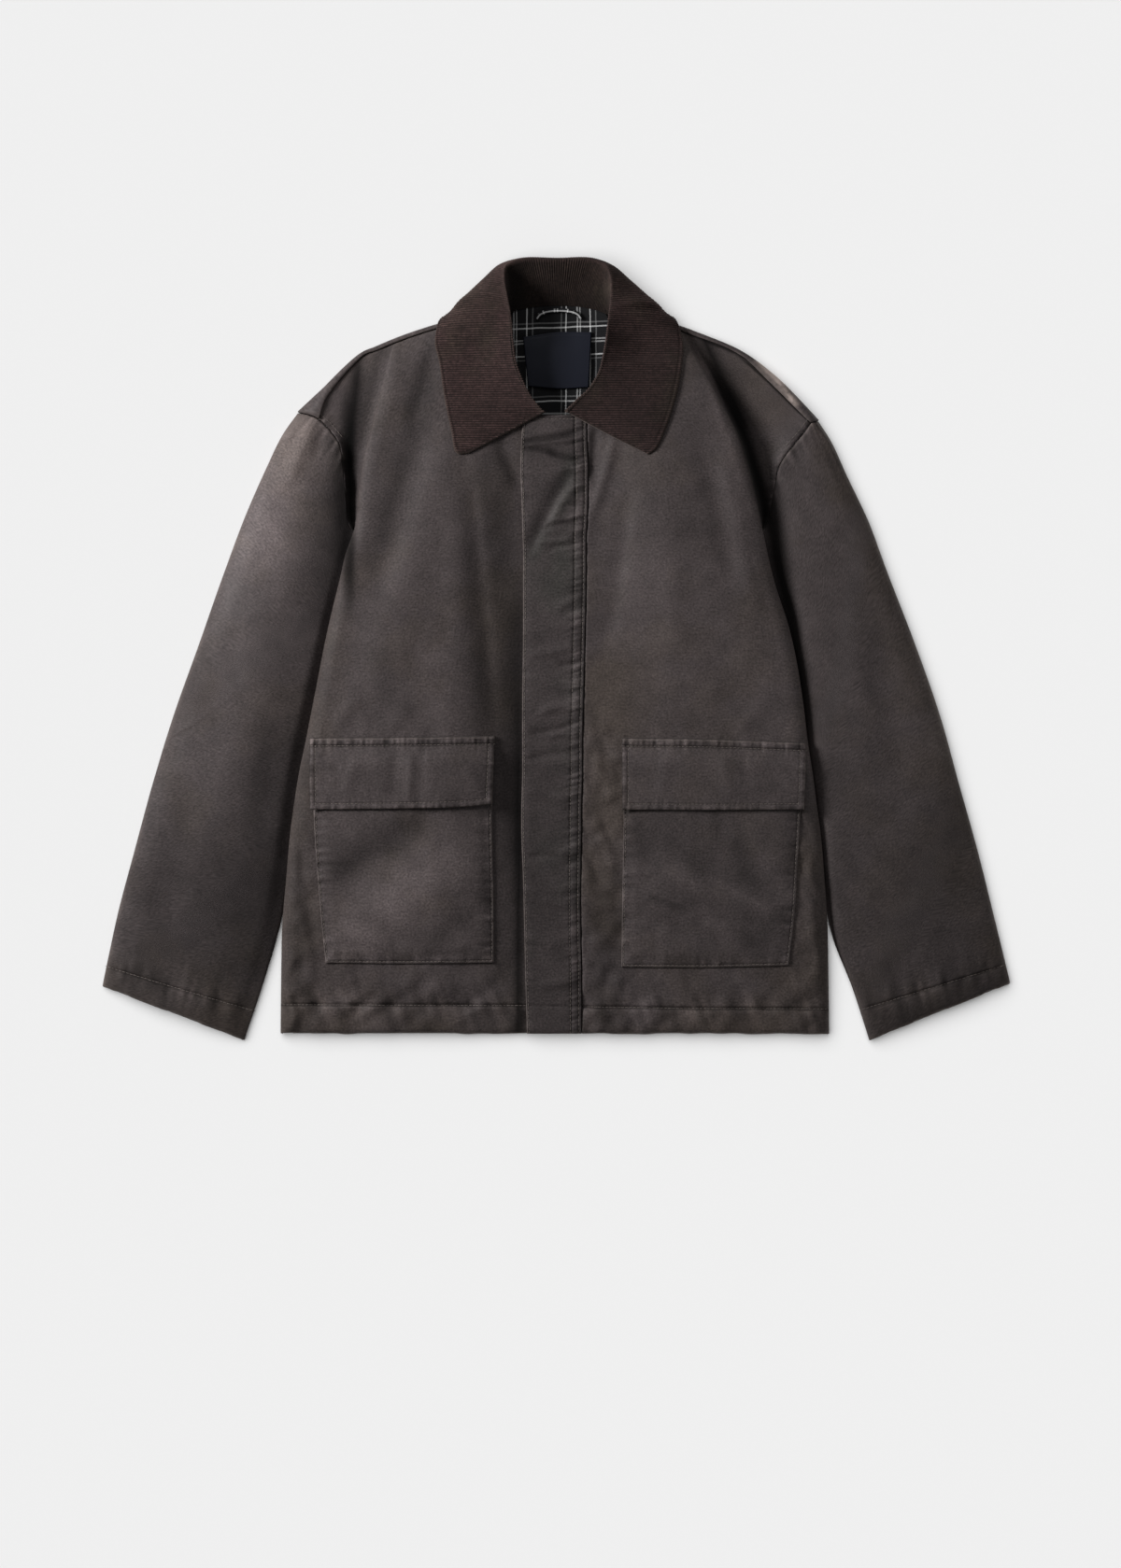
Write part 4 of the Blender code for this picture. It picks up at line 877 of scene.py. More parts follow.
WORN = (0.25, 0.205, 0.185)
WAXED = waxed_cotton("waxed_cotton_cloth", (0.0581, 0.0471, 0.0468), (0.0560, 0.0440, 0.0386))
WAXED_STRIP = waxed_cotton("waxed_cotton_strip", (0.0500, 0.0405, 0.0403), (0.0445, 0.0402, 0.0376))
CORDED = corduroy("corduroy_pile", (0.0370, 0.0208, 0.0200), (0.0345, 0.0252, 0.0190), (0.15, 0.115, 0.100))
# A darker copy of the corduroy for the collar under the wales: painted shade between the wales.
CORDED_SHADED_GROUND = corduroy("corduroy_ground_painted_shade", (0.012, 0.0072, 0.0065), (0.011, 0.0078, 0.0060), (0.10, 0.076, 0.064))
PLAID = plaid("plaid_cotton")
SATIN = satin("label_satin_weave")
THREAD = thread("waxed_thread", (0.17, 0.142, 0.128))


# ---- the fronts --------------------------------------------------------------------------------------------------
SIDES = {"right": (RIGHT_FRONT, RIGHT_UPPER, RIGHT_ARMHOLE), "left": (LEFT_FRONT, LEFT_UPPER, LEFT_ARMHOLE)}
HEM_Y, HEM_SEAM_Y = -386.3, -359.0
HEM_DITCH = ((-280, -357), (-60, -357.8), (24, -359), (120, -360.6), (280, -361.4))
UNDER_STEPS, WALL_STEPS, ROLL_STEPS = 12, 12, 12
# How deep the front dips between its fold and the armhole, from the underarm up to the shoulder.
VALLEY_FLOOR = {"right": (3.5, 10.5), "left": (3.5, 3.5)}


def rounded(share):
    """A quarter circle's rise, from 0 at 0 to 1 at 1."""
    return np.sqrt(1.0 - (1.0 - np.clip(share, 0.0, 1.0)) ** 2)


def edge_roll(distance, drop, reach):
    """How far a folded edge bends down within reach of it."""
    return -drop * (1.0 - rounded(distance / reach))


CROWN_ENDS = {"right": (0.48, 0.30), "left": (0.50, 0.47)}  # where the crown starts to fall, and over how much


def front_height(side, x, fold_x, fold_z, crown_z, centre_x, centre_z):
    """Height across a front: up from its fold to the crown, and down to the centre."""
    from_fold = abs(x - fold_x)
    start, span = CROWN_ENDS[side]
    crown = mix(fold_z, crown_z, rounded(from_fold / FRONT_ROLL))
    return mix(crown, centre_z, ease((from_fold / abs(centre_x - fold_x) - start) / span))


def front_base(side, x, y):
    """Height of a front without its relief, anywhere between its fold and its centre edge."""
    rows = SIDES[side][0]
    levels = column(rows, "y")
    values = [smooth_at(levels, column(rows, name), np.ravel(y)).reshape(np.shape(y))
              for name in ("fold_x", "fold_z", "crown_z", "centre_x", "centre_z")]
    return front_height(side, x, *values)


def hem_ditch_y(x):
    path = np.array(HEM_DITCH)
    return np.interp(x, path[:, 0], path[:, 1])


def front_relief(side, x, y):
    """Folds, swells, the hem band and its ditch."""
    seed = 11 if side == "right" else 23
    relief = folds_at(x, y, FRONT_FOLDS) + unevenness(x, y, seed, 1.4)
    ditch = hem_ditch_y(x)
    band = (y - HEM_Y) / (ditch - HEM_Y)
    puff = 1.5 * np.sqrt(np.clip(np.sin(pi * np.clip(band, 0.0, 1.0)), 0.0, 1.0))
    relief += puff * (1.0 + 0.35 * noise(x, y, 13.0, seed + 31, 1.6))
    crinkle = noise(x + 0.4 * (y - ditch), y, 6.5, seed + 37, 3.2)
    crinkle += 1.2 * noise(x - 0.7 * (y - ditch), y, 15.0, seed + 39, 1.4)
    relief += np.where(x < 0.0, 1.9, 1.6) * crinkle * np.exp(-np.abs(y - ditch) / np.where(y > ditch, 24.0, 30.0))
    strip = ease((x - 26.0) / 6.0) * ease((74.0 - x) / 8.0) * ease((-50.0 - y) / 60.0)
    side_strip = ease((np.abs(x) - 236.0) / 12.0) * ease((-120.0 - y) / 60.0)
    crumple = noise(x + 0.5 * y, y - 0.4 * x, 8.0, seed + 51, 1.5)
    crumple += 0.6 * noise(x - 0.6 * y, y + 0.3 * x, 13.0, seed + 53)
    relief += 1.15 * crumple * np.maximum(strip, side_strip)
    relief += -1.7 * bell(y - ditch, 1.5)
    relief += edge_roll(y - HEM_Y, 3.2, 4.5)
    above_flap = y + np.where(x < 0.0, 87.6, 91.0)
    pulled = noise(x + 0.2 * y, 0.1 * y, 9.0, seed + 41) + 0.6 * noise(x - 0.3 * y, 0.1 * y, 4.5, seed + 43)
    beyond = ease((np.abs(x) - 58.0) / 12.0) * ease((252.0 - np.abs(x)) / 8.0)
    relief += (0.55 * pulled + 0.5) * np.exp(-np.abs(above_flap) / 9.0) * (above_flap > -2.0) * beyond
    return relief


def front_grid(side):
    """Points of a front from its side seam to the centre, with the distance from the fold on its upper face."""
    rows, upper, _ = SIDES[side]
    spans = dict(SPANS[side])
    levels = column(rows, "y")
    under, wall, roll = (np.linspace(0.0, 1.0, n, endpoint=False) for n in (UNDER_STEPS, WALL_STEPS, ROLL_STEPS))
    fine = spaced(0.0, 1.0, 0.0124, (1.0,), 0.0022, 0.3)
    lines = []
    for row in rows:
        toward = 1.0 if row.centre_x > row.fold_x else -1.0
        tuck_z = min(row.tuck_z, mix(*VALLEY_FLOOR[side], ease((row.y - 150.0) / 74.0)))
        width = abs(row.centre_x - row.fold_x)
        away = np.concatenate([FRONT_ROLL * (1.0 - np.cos(0.5 * pi * roll)), mix(FRONT_ROLL, width, fine)])
        top_x = row.fold_x + toward * away
        top_z = front_height(side, top_x, row.fold_x, row.fold_z, row.crown_z, row.centre_x, row.centre_z)
        x = np.concatenate([mix(row.seam_x, row.tuck_x, under),
                            row.fold_x + (row.tuck_x - row.fold_x) * (1.0 - np.sin(0.5 * pi * wall)), top_x])
        z = np.concatenate([mix(row.seam_z, tuck_z, np.sin(0.5 * pi * under)),
                            mix(tuck_z, row.fold_z, 1.0 - np.cos(0.5 * pi * wall)), top_z])
        lines.append(np.stack([x, np.full_like(x, row.y), z], axis=1))
    chest_row = rows[-1]
    named = [abs(getattr(chest_row, name) - chest_row.fold_x) for name, _ in SPANS[side][2:]]
    steps = [step for _, step in SPANS[side][2:]]
    place = np.concatenate([mix(0.0, spans["tuck_x"], under), mix(spans["tuck_x"], spans["fold_x"], wall),
                            np.interp(away, named, steps)])
    count = SHOULDER_ROWS[side]
    top = np.array([(row.x, row.y, row.z) for row in upper])
    for number in range(1, count):
        top[number] = shoulder_seam(upper[number])[0]
    numbers = np.arange(len(top))
    shoulder = smooth_at(numbers[:count], top[:count], np.minimum(place, count - 1))
    neckline = smooth_at(numbers[count - 1:], top[count - 1:], np.maximum(place, count - 1))
    edge = np.where((place <= count - 1)[:, None], shoulder, neckline)
    chest = lines[-1]
    rises = 6
    for number in range(1, rises + 1):
        up = number / rises
        line = mix(chest, edge, up)
        line[:, 2] = mix(chest[:, 2], edge[:, 2], up * up)
        lines.append(line)
    grid = np.array(lines)
    above = np.linalg.norm(np.diff(grid[len(rows) - 1:], axis=0), axis=2).mean(axis=1)
    knots = np.concatenate([levels, levels[-1] + np.cumsum(above)])
    fine_rows = spaced(knots[0], knots[-1], 2.9, (HEM_Y, HEM_SEAM_Y, knots[-1]), 0.9, 0.13)
    grid = smooth_at(knots, grid, fine_rows)
    first_top = UNDER_STEPS + WALL_STEPS
    from_fold = np.zeros(grid.shape[1])
    from_fold[first_top:] = away
    return grid, from_fold, first_top


def shoulder_seam(row):
    """A point of the shoulder seam, and the direction from it to the outline."""
    seam = np.array((row.x, row.y, row.z))
    out = np.array((row.outline_x, row.outline_y, row.z)) - seam
    length = np.linalg.norm(out)
    away = out / max(length, 1e-9)
    return seam - away * max(0.0, SHOULDER_INSET - length), away


def unrolled(points, anchor, closed=False):
    """Flat cut map of a grid: the distance across from one column, and the distance up the middle."""
    if closed:
        points = np.concatenate([points, points[:, :1]], axis=1)
    across = np.linalg.norm(np.diff(points, axis=1), axis=2)
    u = np.concatenate([np.zeros((len(points), 1)), np.cumsum(across, axis=1)], axis=1)
    u -= u[:, anchor:anchor + 1]
    up = np.median(np.linalg.norm(np.diff(points, axis=0), axis=2), axis=1)
    v = np.concatenate([[0.0], np.cumsum(up)])[:, None] + np.zeros_like(u)
    return np.stack([u, v], axis=2)


def shoulder_path(side):
    return [shoulder_seam(row)[0] for row in SIDES[side][1][:SHOULDER_ROWS[side]]]


PLACKET_SEAM = ((26, -386), (25.5, -200), (28, -55), (31.5, 100), (32.5, 217))  # beside it, on the left front
PLACKET_SIDE = {"right": ((-60, 60), (-60, -60)), "left": ((48, -20), (50, -100), (54, -270))}


def make_front(side):
    grid, from_fold, first_top = front_grid(side)
    x, y = grid[..., 0], grid[..., 1]
    fade = ease(from_fold / 16)
    relief = front_relief(side, x, y) * fade
    relief += edge_roll(y - HEM_Y, 3.2, 4.5) * (1.0 - fade) * 0.4
    seam = seam_relief(x, y, shoulder_path(side), SHOULDER_DITCH[side], 1.1, 0.3, 8, 8, 41)
    armhole = np.array(SIDES[side][2])[2:]
    beside_seam = np.where(np.arange(grid.shape[1]) < first_top, 1, ease((y - 128) / 26))
    seam += seam_relief(x, y, armhole, 0.7, 1.8, 0.8, 8.0, 6.0, 47) * beside_seam
    grid[..., 2] += relief + np.where(y > 105.0, seam, 0.0)
    grid[..., 1] += 0.8 * noise(x, 0.0 * x, 15.0, 13) * np.exp(-(y - HEM_Y) / 6.0)
    if side == "left":
        centre = smooth_at(column(LEFT_FRONT, "y"), column(LEFT_FRONT, "centre_x"), y.ravel()).reshape(y.shape)
        grid[..., 2] += edge_roll(np.maximum(x - centre, 0.0), 1.6, 1.6) * (from_fold > 60.0)
        grid[..., 2] += seam_relief(x, y, PLACKET_SEAM, 0.0, 1.0, 0.45, 9.0, 9.0, 53) * (y < 225.0)
    top_edge = bell(np.clip(y - HEM_Y, 0.0, 50.0), 1.6)
    rim = bell(from_fold[None, :] - 1.0, 4.0) * (np.arange(len(from_fold)) >= first_top)
    wear = 0.35 * top_edge + 0.08 * rim * (0.6 + 0.4 * noise(x, y, 11.0, 3))
    seam_away = beside(x, y, shoulder_path(side))[0]
    rubbed, dark = SHOULDER_EDGE[side]
    wear += rubbed * bell(seam_away, 1.4)
    lowest = np.where(np.arange(grid.shape[1]) < UNDER_STEPS // 2, 0.2, BODY_WALL + 0.1)
    grid[..., 2] = np.maximum(grid[..., 2], lowest)
    if side == "left":
        grid, wear, beside_seam, seam_away = (part[:, ::-1] for part in (grid, wear, beside_seam, seam_away))
    x, y = grid[..., 0], grid[..., 1]
    folded = [(row.fold_x, row.y) for row in SIDES[side][0]]
    greener = olive_near(x, y, HEM_Y, [(folded[:5], 50.0, 0.8), (folded[5:11], 26.0, 0.30),
                                       (shoulder_path(side), 28.0, 0.25), (PLACKET_SIDE[side], 26.0, 0.9)])
    # Painted light and shade on the puckers of the hem and the armhole, painted shade in the hem's ditch, and a dark
    # line along the shoulder seam, go into the tone with the front's shading table.
    from_ditch = y - hem_ditch_y(x)
    ticks = np.where(x < 0.0, 1.35, 1.1) * puckers(x + 0.4 * from_ditch, np.abs(from_ditch), 13.0, 16.0, 57)
    ticks -= 2.4 * bell(from_ditch + 0.6, 1.0)
    armhole_away, armhole_along = beside(x, y, armhole)
    ticks += np.where(y > 105.0, 1.9 * puckers(armhole_along, armhole_away, 7.0, 7.0, 59) * beside_seam, 0.0)
    ticks -= dark * bell(seam_away, 1.3)
    return cloth("cloth_front_" + side, grid, BODY_WALL, WAXED, unrolled(grid, grid.shape[1] // 2), wear,
                 olive=greener, tone=0.5 * np.exp(folds_at(x, y, FRONT_SHADING_PAINT) + 0.4 * ticks))


# ---- the back ----------------------------------------------------------------------------------------------------
# Painted highlight streaks on the back's strips, carried in the wear: where each runs and how strong it is. Above 1
# it is paler than the worn colour too.
HIGHLIGHT_STREAKS = ((((204, 290), (224, 269.5), (240, 249)), 2.3), (((-236, 274), (-221, 257)), 0.3))


def make_back():
    """Flat under everything, with a strip at each shoulder that comes up over the edge to the shoulder seam."""
    fine = np.linspace(0.0, 1.0, 15)

    def strips(side):
        upper, armhole = SIDES[side][1], np.array(SIDES[side][2])
        made = []
        for number in range(SHOULDER_ROWS[side]):
            row = upper[number]
            seam, away = shoulder_seam(row)
            if number == 0:
                inwards = np.array((-np.copysign(SEAM_GAP, row.x), SEAM_GAP, 0.0))
                edge = smooth_at(np.arange(STRIP_ROWS), armhole[:STRIP_ROWS] + inwards, fine * (STRIP_ROWS - 1))
                ground = edge[0].copy()
            else:
                low = np.array((row.outline_x, row.outline_y, 0.45 * row.z))
                edge = low + (seam - low) * (1.0 - np.sqrt(1.0 - fine ** 2))[:, None]
                edge[:, 2] = mix(low[2], seam[2], np.sin(0.5 * pi * fine))
                ground = low - away * 3.0
                edge += away * 0.4 * ease(fine)[:, None]
            ground = np.array((ground[0], ground[1], 0.0))
            made.append(np.concatenate([ground[None], edge]))
        return made

    right, left = strips("right"), strips("left")
    middle = []
    ends = [SIDES[side][1][SHOULDER_ROWS[side] - 1].x for side in ("right", "left")]
    for step in range(1, 6):
        x = mix(*ends, step / 6.0)
        middle.append(np.array([(x, NECK_EDGE_Y - 8.0 * (1.0 - s), 0.0) for s in np.linspace(0.0, 1.0, 16)]))
    lines = right + middle + left[::-1]
    widths = np.array([line[0][0] for line in lines])
    shares = (widths - widths[0]) / (widths[-1] - widths[0])
    rows = []
    for low, high in zip(RIGHT_FRONT, LEFT_FRONT):
        start, end = low.seam_x + SEAM_GAP, high.seam_x - SEAM_GAP
        rows.append([(mix(start, end, s), mix(low.y, high.y, s), 0.0) for s in shares])
    chest = np.array(rows[-1])
    for step in range(1, 4):
        up = step / 3.0
        line = mix(chest, np.array([strip[0] for strip in lines]), up)
        if step < 3:
            for place, armhole in ((0, RIGHT_ARMHOLE), (-1, LEFT_ARMHOLE)):
                beside_row = armhole[STRIP_ROWS - step]
                line[place] = (beside_row.x, beside_row.y + SEAM_GAP, 0.0)
        rows.append(line)
    for number in range(1, 16):
        rows.append([strip[number] for strip in lines])
    grid = np.array([np.array(row) for row in rows])
    knots = np.arange(len(lines), dtype=float)
    fine_columns = np.concatenate([np.linspace(a, b, 6, endpoint=False) for a, b in zip(knots[:-1], knots[1:])]
                                  + [knots[-1:]])
    flat_rows = grid[:len(RIGHT_FRONT) + 3]
    grid = np.swapaxes(smooth_at(knots, np.swapaxes(grid, 0, 1), fine_columns), 0, 1)
    for row, flat in enumerate(flat_rows):
        for axis in (0, 1):
            grid[row, :, axis] = np.interp(fine_columns, knots, flat[:, axis])
    x, y = grid[..., 0], grid[..., 1]
    raised = ease(grid[..., 2] / 6.0)
    relief = 0.5 * unevenness(x, y, 61, 1.0)
    for side in ("right", "left"):
        relief += seam_relief(x, y, shoulder_path(side), SHOULDER_DITCH[side], 1.1, 0.3, 7.0, 8.0, 67)
    grid[..., 2] = np.maximum(grid[..., 2] + relief * raised, BODY_WALL)
    grid[..., 2] += folds_at(x, y, UNDER_FOLDS) * (1.0 - raised)
    wear = 0.0 * x
    for side in ("right", "left"):
        wear += 0.3 * bell(beside(x, y, shoulder_path(side))[0], 1.4)
    # Painted highlight along the strips, put into the wear.
    for path, most in HIGHLIGHT_STREAKS:
        wear += most * bell(beside(x, y, path)[0], 3.2) * (0.75 + 0.4 * noise(x, y, 6.0, 7))
    return cloth("cloth_back", grid, BODY_WALL, WAXED, unrolled(grid, grid.shape[1] // 2), wear)


# ---- the sleeves -------------------------------------------------------------------------------------------------
CUFF_BAND = 25.0
# How far from its inner edge a sleeve stays down beside the body, from the cuff up, and how wide its roll there is.
ARM_GAPS = {
    "right": ((-393, 0), (111, 0)),
    "left": ((-393, 0), (-290, 2), (-190, 4), (-125, 5), (-66, 7), (-12, 9), (28, 14),
             (58, 16), (85, 15), (111, 13)),
}
ARM_ROLLS = {"right": 22.0, "left": 12.0}
ARCHES = {"right": 0.62, "left": 0.25}  # how much a sleeve is arched right across, not flat on top


# Seed of a sleeve's swells, strength of its puckers at the armhole, and how olive its outer edge and its cuff are.
SLEEVE_LOOKS = {"right": (71, 0.8, 0.15, 0.8), "left": (83, 0.4, 0.75, 0.35)}


def make_sleeve(side):
    sections, armhole = (RIGHT_SLEEVE, RIGHT_ARMHOLE) if side == "right" else (LEFT_SLEEVE, LEFT_ARMHOLE)
    seed, crinkle, olive_edge, olive_cuff = SLEEVE_LOOKS[side]
    outward = -1.0 if side == "right" else 1.0
    knots = np.concatenate([[0.0], np.cumsum([
        np.hypot(b.outer_x + b.inner_x - a.outer_x - a.inner_x, b.outer_y + b.inner_y - a.outer_y - a.inner_y) / 2
        for a, b in zip(sections, sections[1:])])])
    length = knots[-1]
    rows = spaced(0.0, length, 3.0, (0.0, length, length - CUFF_BAND), 0.8, 0.14)
    outer_x, outer_y, inner_x, inner_y, crown, edge = (
        smooth_at(knots, column(sections, name), rows)[:, None]
        for name in ("outer_x", "outer_y", "inner_x", "inner_y", "crown_z", "edge_z"))
    width = np.hypot(inner_x - outer_x, inner_y - outer_y)
    out_share, in_share = SLEEVE_ROLL_OUT / SLEEVE_WIDTH, SLEEVE_ROLL_IN / SLEEVE_WIDTH
    turn, inner_turn = np.linspace(0.0, 1.0, 12), np.linspace(0.0, 1.0, 18)
    share = np.concatenate([out_share * (1.0 - np.cos(0.5 * pi * turn)),
                            np.linspace(out_share, 1.0 - in_share, 44)[1:-1],
                            (1.0 - in_share * (1.0 - np.cos(0.5 * pi * inner_turn)))[::-1]])
    top_x, top_y = mix(outer_x, inner_x, share), mix(outer_y, inner_y, share)
    gap = np.interp(inner_y, *np.array(ARM_GAPS[side]).T)
    from_inner = (1.0 - share) * width - gap
    rise = rounded(share * width / SLEEVE_ROLL_OUT) * rounded(from_inner / ARM_ROLLS[side])
    arch = 1.0 - np.abs(2.0 * share - 1.0) ** 2.0
    share_of_arch = ARCHES[side]
    rise = (1.0 - share_of_arch) * rise + 1.12 * share_of_arch * arch * ease(from_inner / 20.0)
    top_z = mix(edge, crown, rise)
    seam = smooth_at(SLEEVE_SPREAD, np.array(armhole), share)
    seam = seam + np.array((0.9 * outward, -0.44, 0.0)) * 0.6
    place = np.interp(rows, knots, np.arange(len(knots)))[:, None]
    pull = np.clip(1.0 - place / 4.0, 0.0, 1.0) ** 2 * (1.0 - ease((share - 0.93) / 0.07))
    first = sections[0]
    top_x = top_x + (seam[:, 0] - mix(first.outer_x, first.inner_x, share)) * pull
    top_y = top_y + (seam[:, 1] - mix(first.outer_y, first.inner_y, share)) * pull
    top_z = mix(top_z, seam[:, 2], pull)
    fade = ease(share * width / 14.0) * ease((1.0 - share) * width / 14.0)
    relief = (folds_at(top_x, top_y, SLEEVE_FOLDS) + unevenness(top_x, top_y, seed, 1.2)) * fade
    from_cuff = length - rows[:, None] + 0.0 * share
    across = share * width
    band = np.clip(from_cuff / CUFF_BAND, 0.0, 1.0)
    relief += 1.2 * np.sqrt(np.clip(np.sin(pi * band), 0.0, 1.0)) * fade
    relief += -1.6 * bell(from_cuff - CUFF_BAND, 1.5) * fade
    relief += 1.2 * noise(across + 0.3 * from_cuff, from_cuff, 6.0, 91, 3.0) * np.exp(
        -np.abs(from_cuff - CUFF_BAND) / 12.0) * fade
    relief += 0.7 * noise(across - 0.5 * from_cuff, from_cuff, 15.0, 93, 1.5) * np.exp(-from_cuff / 50.0) * fade
    relief += edge_roll(from_cuff, 2.6, 4.0)
    relief += edge_roll(rows[:, None] + 0.0 * share, 1.2, 2.2) * fade
    relief += crinkle * noise(across, rows[:, None], 8.0, 97, 2.5) * np.exp(-rows[:, None] / 12.0) * fade
    top_z = np.maximum(top_z + relief, SLEEVE_WALL + 1.6)
    top_y = top_y + 0.8 * noise(across, 0.0 * across, 11.0, 95) * np.exp(-from_cuff / 6.0)
    top = np.stack([top_x, top_y, top_z], axis=2)
    under_share = np.linspace(1.0, 0.0, 22)[1:-1]
    under_share = 0.5 - 0.5 * np.cos(pi * under_share)
    from_edge = np.minimum(under_share, 1.0 - under_share) * width
    under_x = mix(top_x[:, -1:], top_x[:, :1], 1.0 - under_share)
    under_y = mix(top_y[:, -1:], top_y[:, :1], 1.0 - under_share)
    under_z = np.minimum(top_z[:, :1], edge) * (1.0 - rounded(from_edge / 7.0))
    under_z += folds_at(under_x, under_y, UNDER_FOLDS) * ease(from_edge / 18.0)
    under = np.stack([under_x, under_y, under_z], axis=2)

    def all_round(above, below=np.zeros(under_x.shape)):
        ring = np.concatenate([above, below], axis=1)
        return (ring if side == "right" else ring[:, ::-1])[::-1]

    grid = all_round(top, under)
    silhouette = bell(share * width, 3.0) + 0.5 * bell((1.0 - share) * width, 3.0)
    cuff = bell(from_cuff, 1.8)
    on_top = 1.0 - ease((share - 0.45) / 0.2)
    wear = 0.16 * bell(rows[:, None] - 1.2, 1.2) * fade * on_top
    wear = wear + 0.22 * silhouette * (0.6 + 0.5 * noise(across, rows[:, None], 14.0, 5)) + 0.4 * cuff
    # Painted light and shade on the puckers at the cuff band and at the armhole, and painted shade in the cuff band's
    # ditch.
    ticks = (1.8 * puckers(across, np.abs(from_cuff - CUFF_BAND), 10.0, 12.0, 61)
             + 2.1 * puckers(across, rows[:, None] + 0.0 * share, 9.0, 14.0, 63)
             - 1.2 * bell(from_cuff - CUFF_BAND + 0.8, 1.3)) * fade
    sewn_paths["cuff_" + side] = top[int(np.argmin(abs(from_cuff[:, 0] - CUFF_BAND))), :, :2]
    greener = np.maximum(olive_edge * (1.0 - ease(share * width / 75.0)),
                         olive_cuff * (1.0 - ease((from_cuff - 20.0) / 80.0)))
    # The tone: painted shade and light from the sleeve's shading table and the puckers.
    shade = folds_at(grid[..., 0], grid[..., 1], SLEEVE_SHADING_PAINT) + 0.4 * all_round(ticks)
    return cloth("cloth_sleeve_" + side, grid, SLEEVE_WALL, WAXED,
                 unrolled(grid, len(share) // 2, closed=True), all_round(wear), closed=True,
                 olive=all_round(greener), tone=0.5 * np.exp(shade))


# ---- what lies on the fronts -------------------------------------------------------------------------------------
def along_path(path, shares):
    path = np.asarray(path, float)
    knots = lengths_along(path)
    return smooth_at(knots / knots[-1], path, shares)


def patch(left, right, bottom, top, us, vs):
    """Places across a patch between four edges, the sides from the bottom up and the others from the left."""
    left, right = along_path(left, vs)[:, None], along_path(right, vs)[:, None]
    bottom, top = along_path(bottom, us)[None], along_path(top, us)[None]
    u, v = us[None, :, None], vs[:, None, None]
    corners = mix(mix(bottom[:, :1], bottom[:, -1:], u), mix(top[:, :1], top[:, -1:], u), v)
    return mix(left, right, u) + mix(bottom, top, v) - corners


POCKET_EDGES = {
    "right": (((-231.7, -314.9), (-235.5, -276.4), (-238.3, -243.5), (-242, -193.6), (-244.6, -125)),
              ((-62.5, -314.9), (-63, -240), (-64.2, -163), (-63, -125)),
              ((-231.7, -314.9), (-150, -315.6), (-62.5, -314.9)), ((-244.6, -125), (-63, -125))),
    "left": (((65.4, -319.2), (66.4, -240), (67.6, -163), (67.2, -125)),
             ((233.6, -317.7), (239.2, -269.8), (242, -221.8), (245.2, -163.6), (247, -125)),
             ((65.4, -319.2), (150, -319.6), (233.6, -317.7)), ((67.2, -125), (247, -125))),
}
FLAP_EDGES = {
    "right": (((-246.8, -160.7), (-247.6, -124), (-247.7, -88.4)),
              ((-64.6, -155.4), (-63, -120), (-61.6, -86.5)),
              ((-246.8, -160.7), (-156.5, -159.8), (-90, -157.8), (-64.6, -155.4)),
              ((-247.7, -88.4), (-150, -87.6), (-61.6, -86.5))),
    "left": (((66.3, -160.9), (66, -124), (66.3, -88.4)),
             ((248.6, -160.7), (250, -124), (250.5, -93.1)),
             ((66.3, -160.9), (150, -161.2), (248.6, -160.7)),
             ((66.3, -88.4), (150, -89.4), (250.5, -93.1))),
}


def from_edges(us, vs, width, height):
    """Distances from the left, right, bottom and top edge of a patch of about this size."""
    u, v = us[None, :] + 0.0 * vs[:, None], vs[:, None] + 0.0 * us[None, :]
    return u * width, (1.0 - u) * width, v * height, (1.0 - v) * height


def make_pocket(side):
    seed = 101 if side == "right" else 113
    width, height = 176.0, 190.0
    us = spaced(0.0, width, 1.9, (0.0, width, 2.4, width - 2.4), 0.6, 0.2) / width
    vs = spaced(0.0, height, 1.7, (0.0, 2.4), 0.6, 0.2) / height
    flat = patch(*POCKET_EDGES[side], us, vs)
    x, y = flat[..., 0], flat[..., 1]
    left, right, bottom, _ = from_edges(us, vs, width, height)
    edge = np.minimum(np.minimum(left, right), bottom)
    z = front_base(side, x, y) + 0.8 * front_relief(side, x, y) + POCKET_RISE
    z += 1.6 * ease(edge / 16.0) + unevenness(x, y, seed, 1.5 if side == "right" else 2.3) * ease(edge / 10.0)
    z += folds_at(x, y, POCKET_FOLDS) * ease(edge / 12.0)
    z += -0.55 * bell(edge - POCKET_STITCH, 0.9) + edge_roll(edge, 1.1, 1.3)
    # Painted light and shade on the puckers, and a darker line along the stitching, for the tone with the pocket's
    # shading table.
    ticks = -0.9 * bell(edge - 2.6, 1.1)
    for away, along, number in ((left, y, 1), (right, y, 2), (bottom, x, 3)):
        ripple = puckers(along, away, 9.0, 12.0 if number < 3 else 7.0, seed + 10 * number)
        z += 1.1 * ripple * ease(away / 3.0)
        ticks += ripple
    grid = np.stack([x, y, z], axis=2)
    wear = 0.30 * bell(edge, 1.0) * (0.7 + 0.5 * noise(x, y, 9.0, seed + 6))
    return cloth("cloth_pocket_" + side, grid, POCKET_WALL, WAXED, unrolled(grid, len(us) // 2), wear,
                 tone=0.5 * np.exp(folds_at(x, y, POCKET_SHADING_PAINT) + 0.38 * ticks))


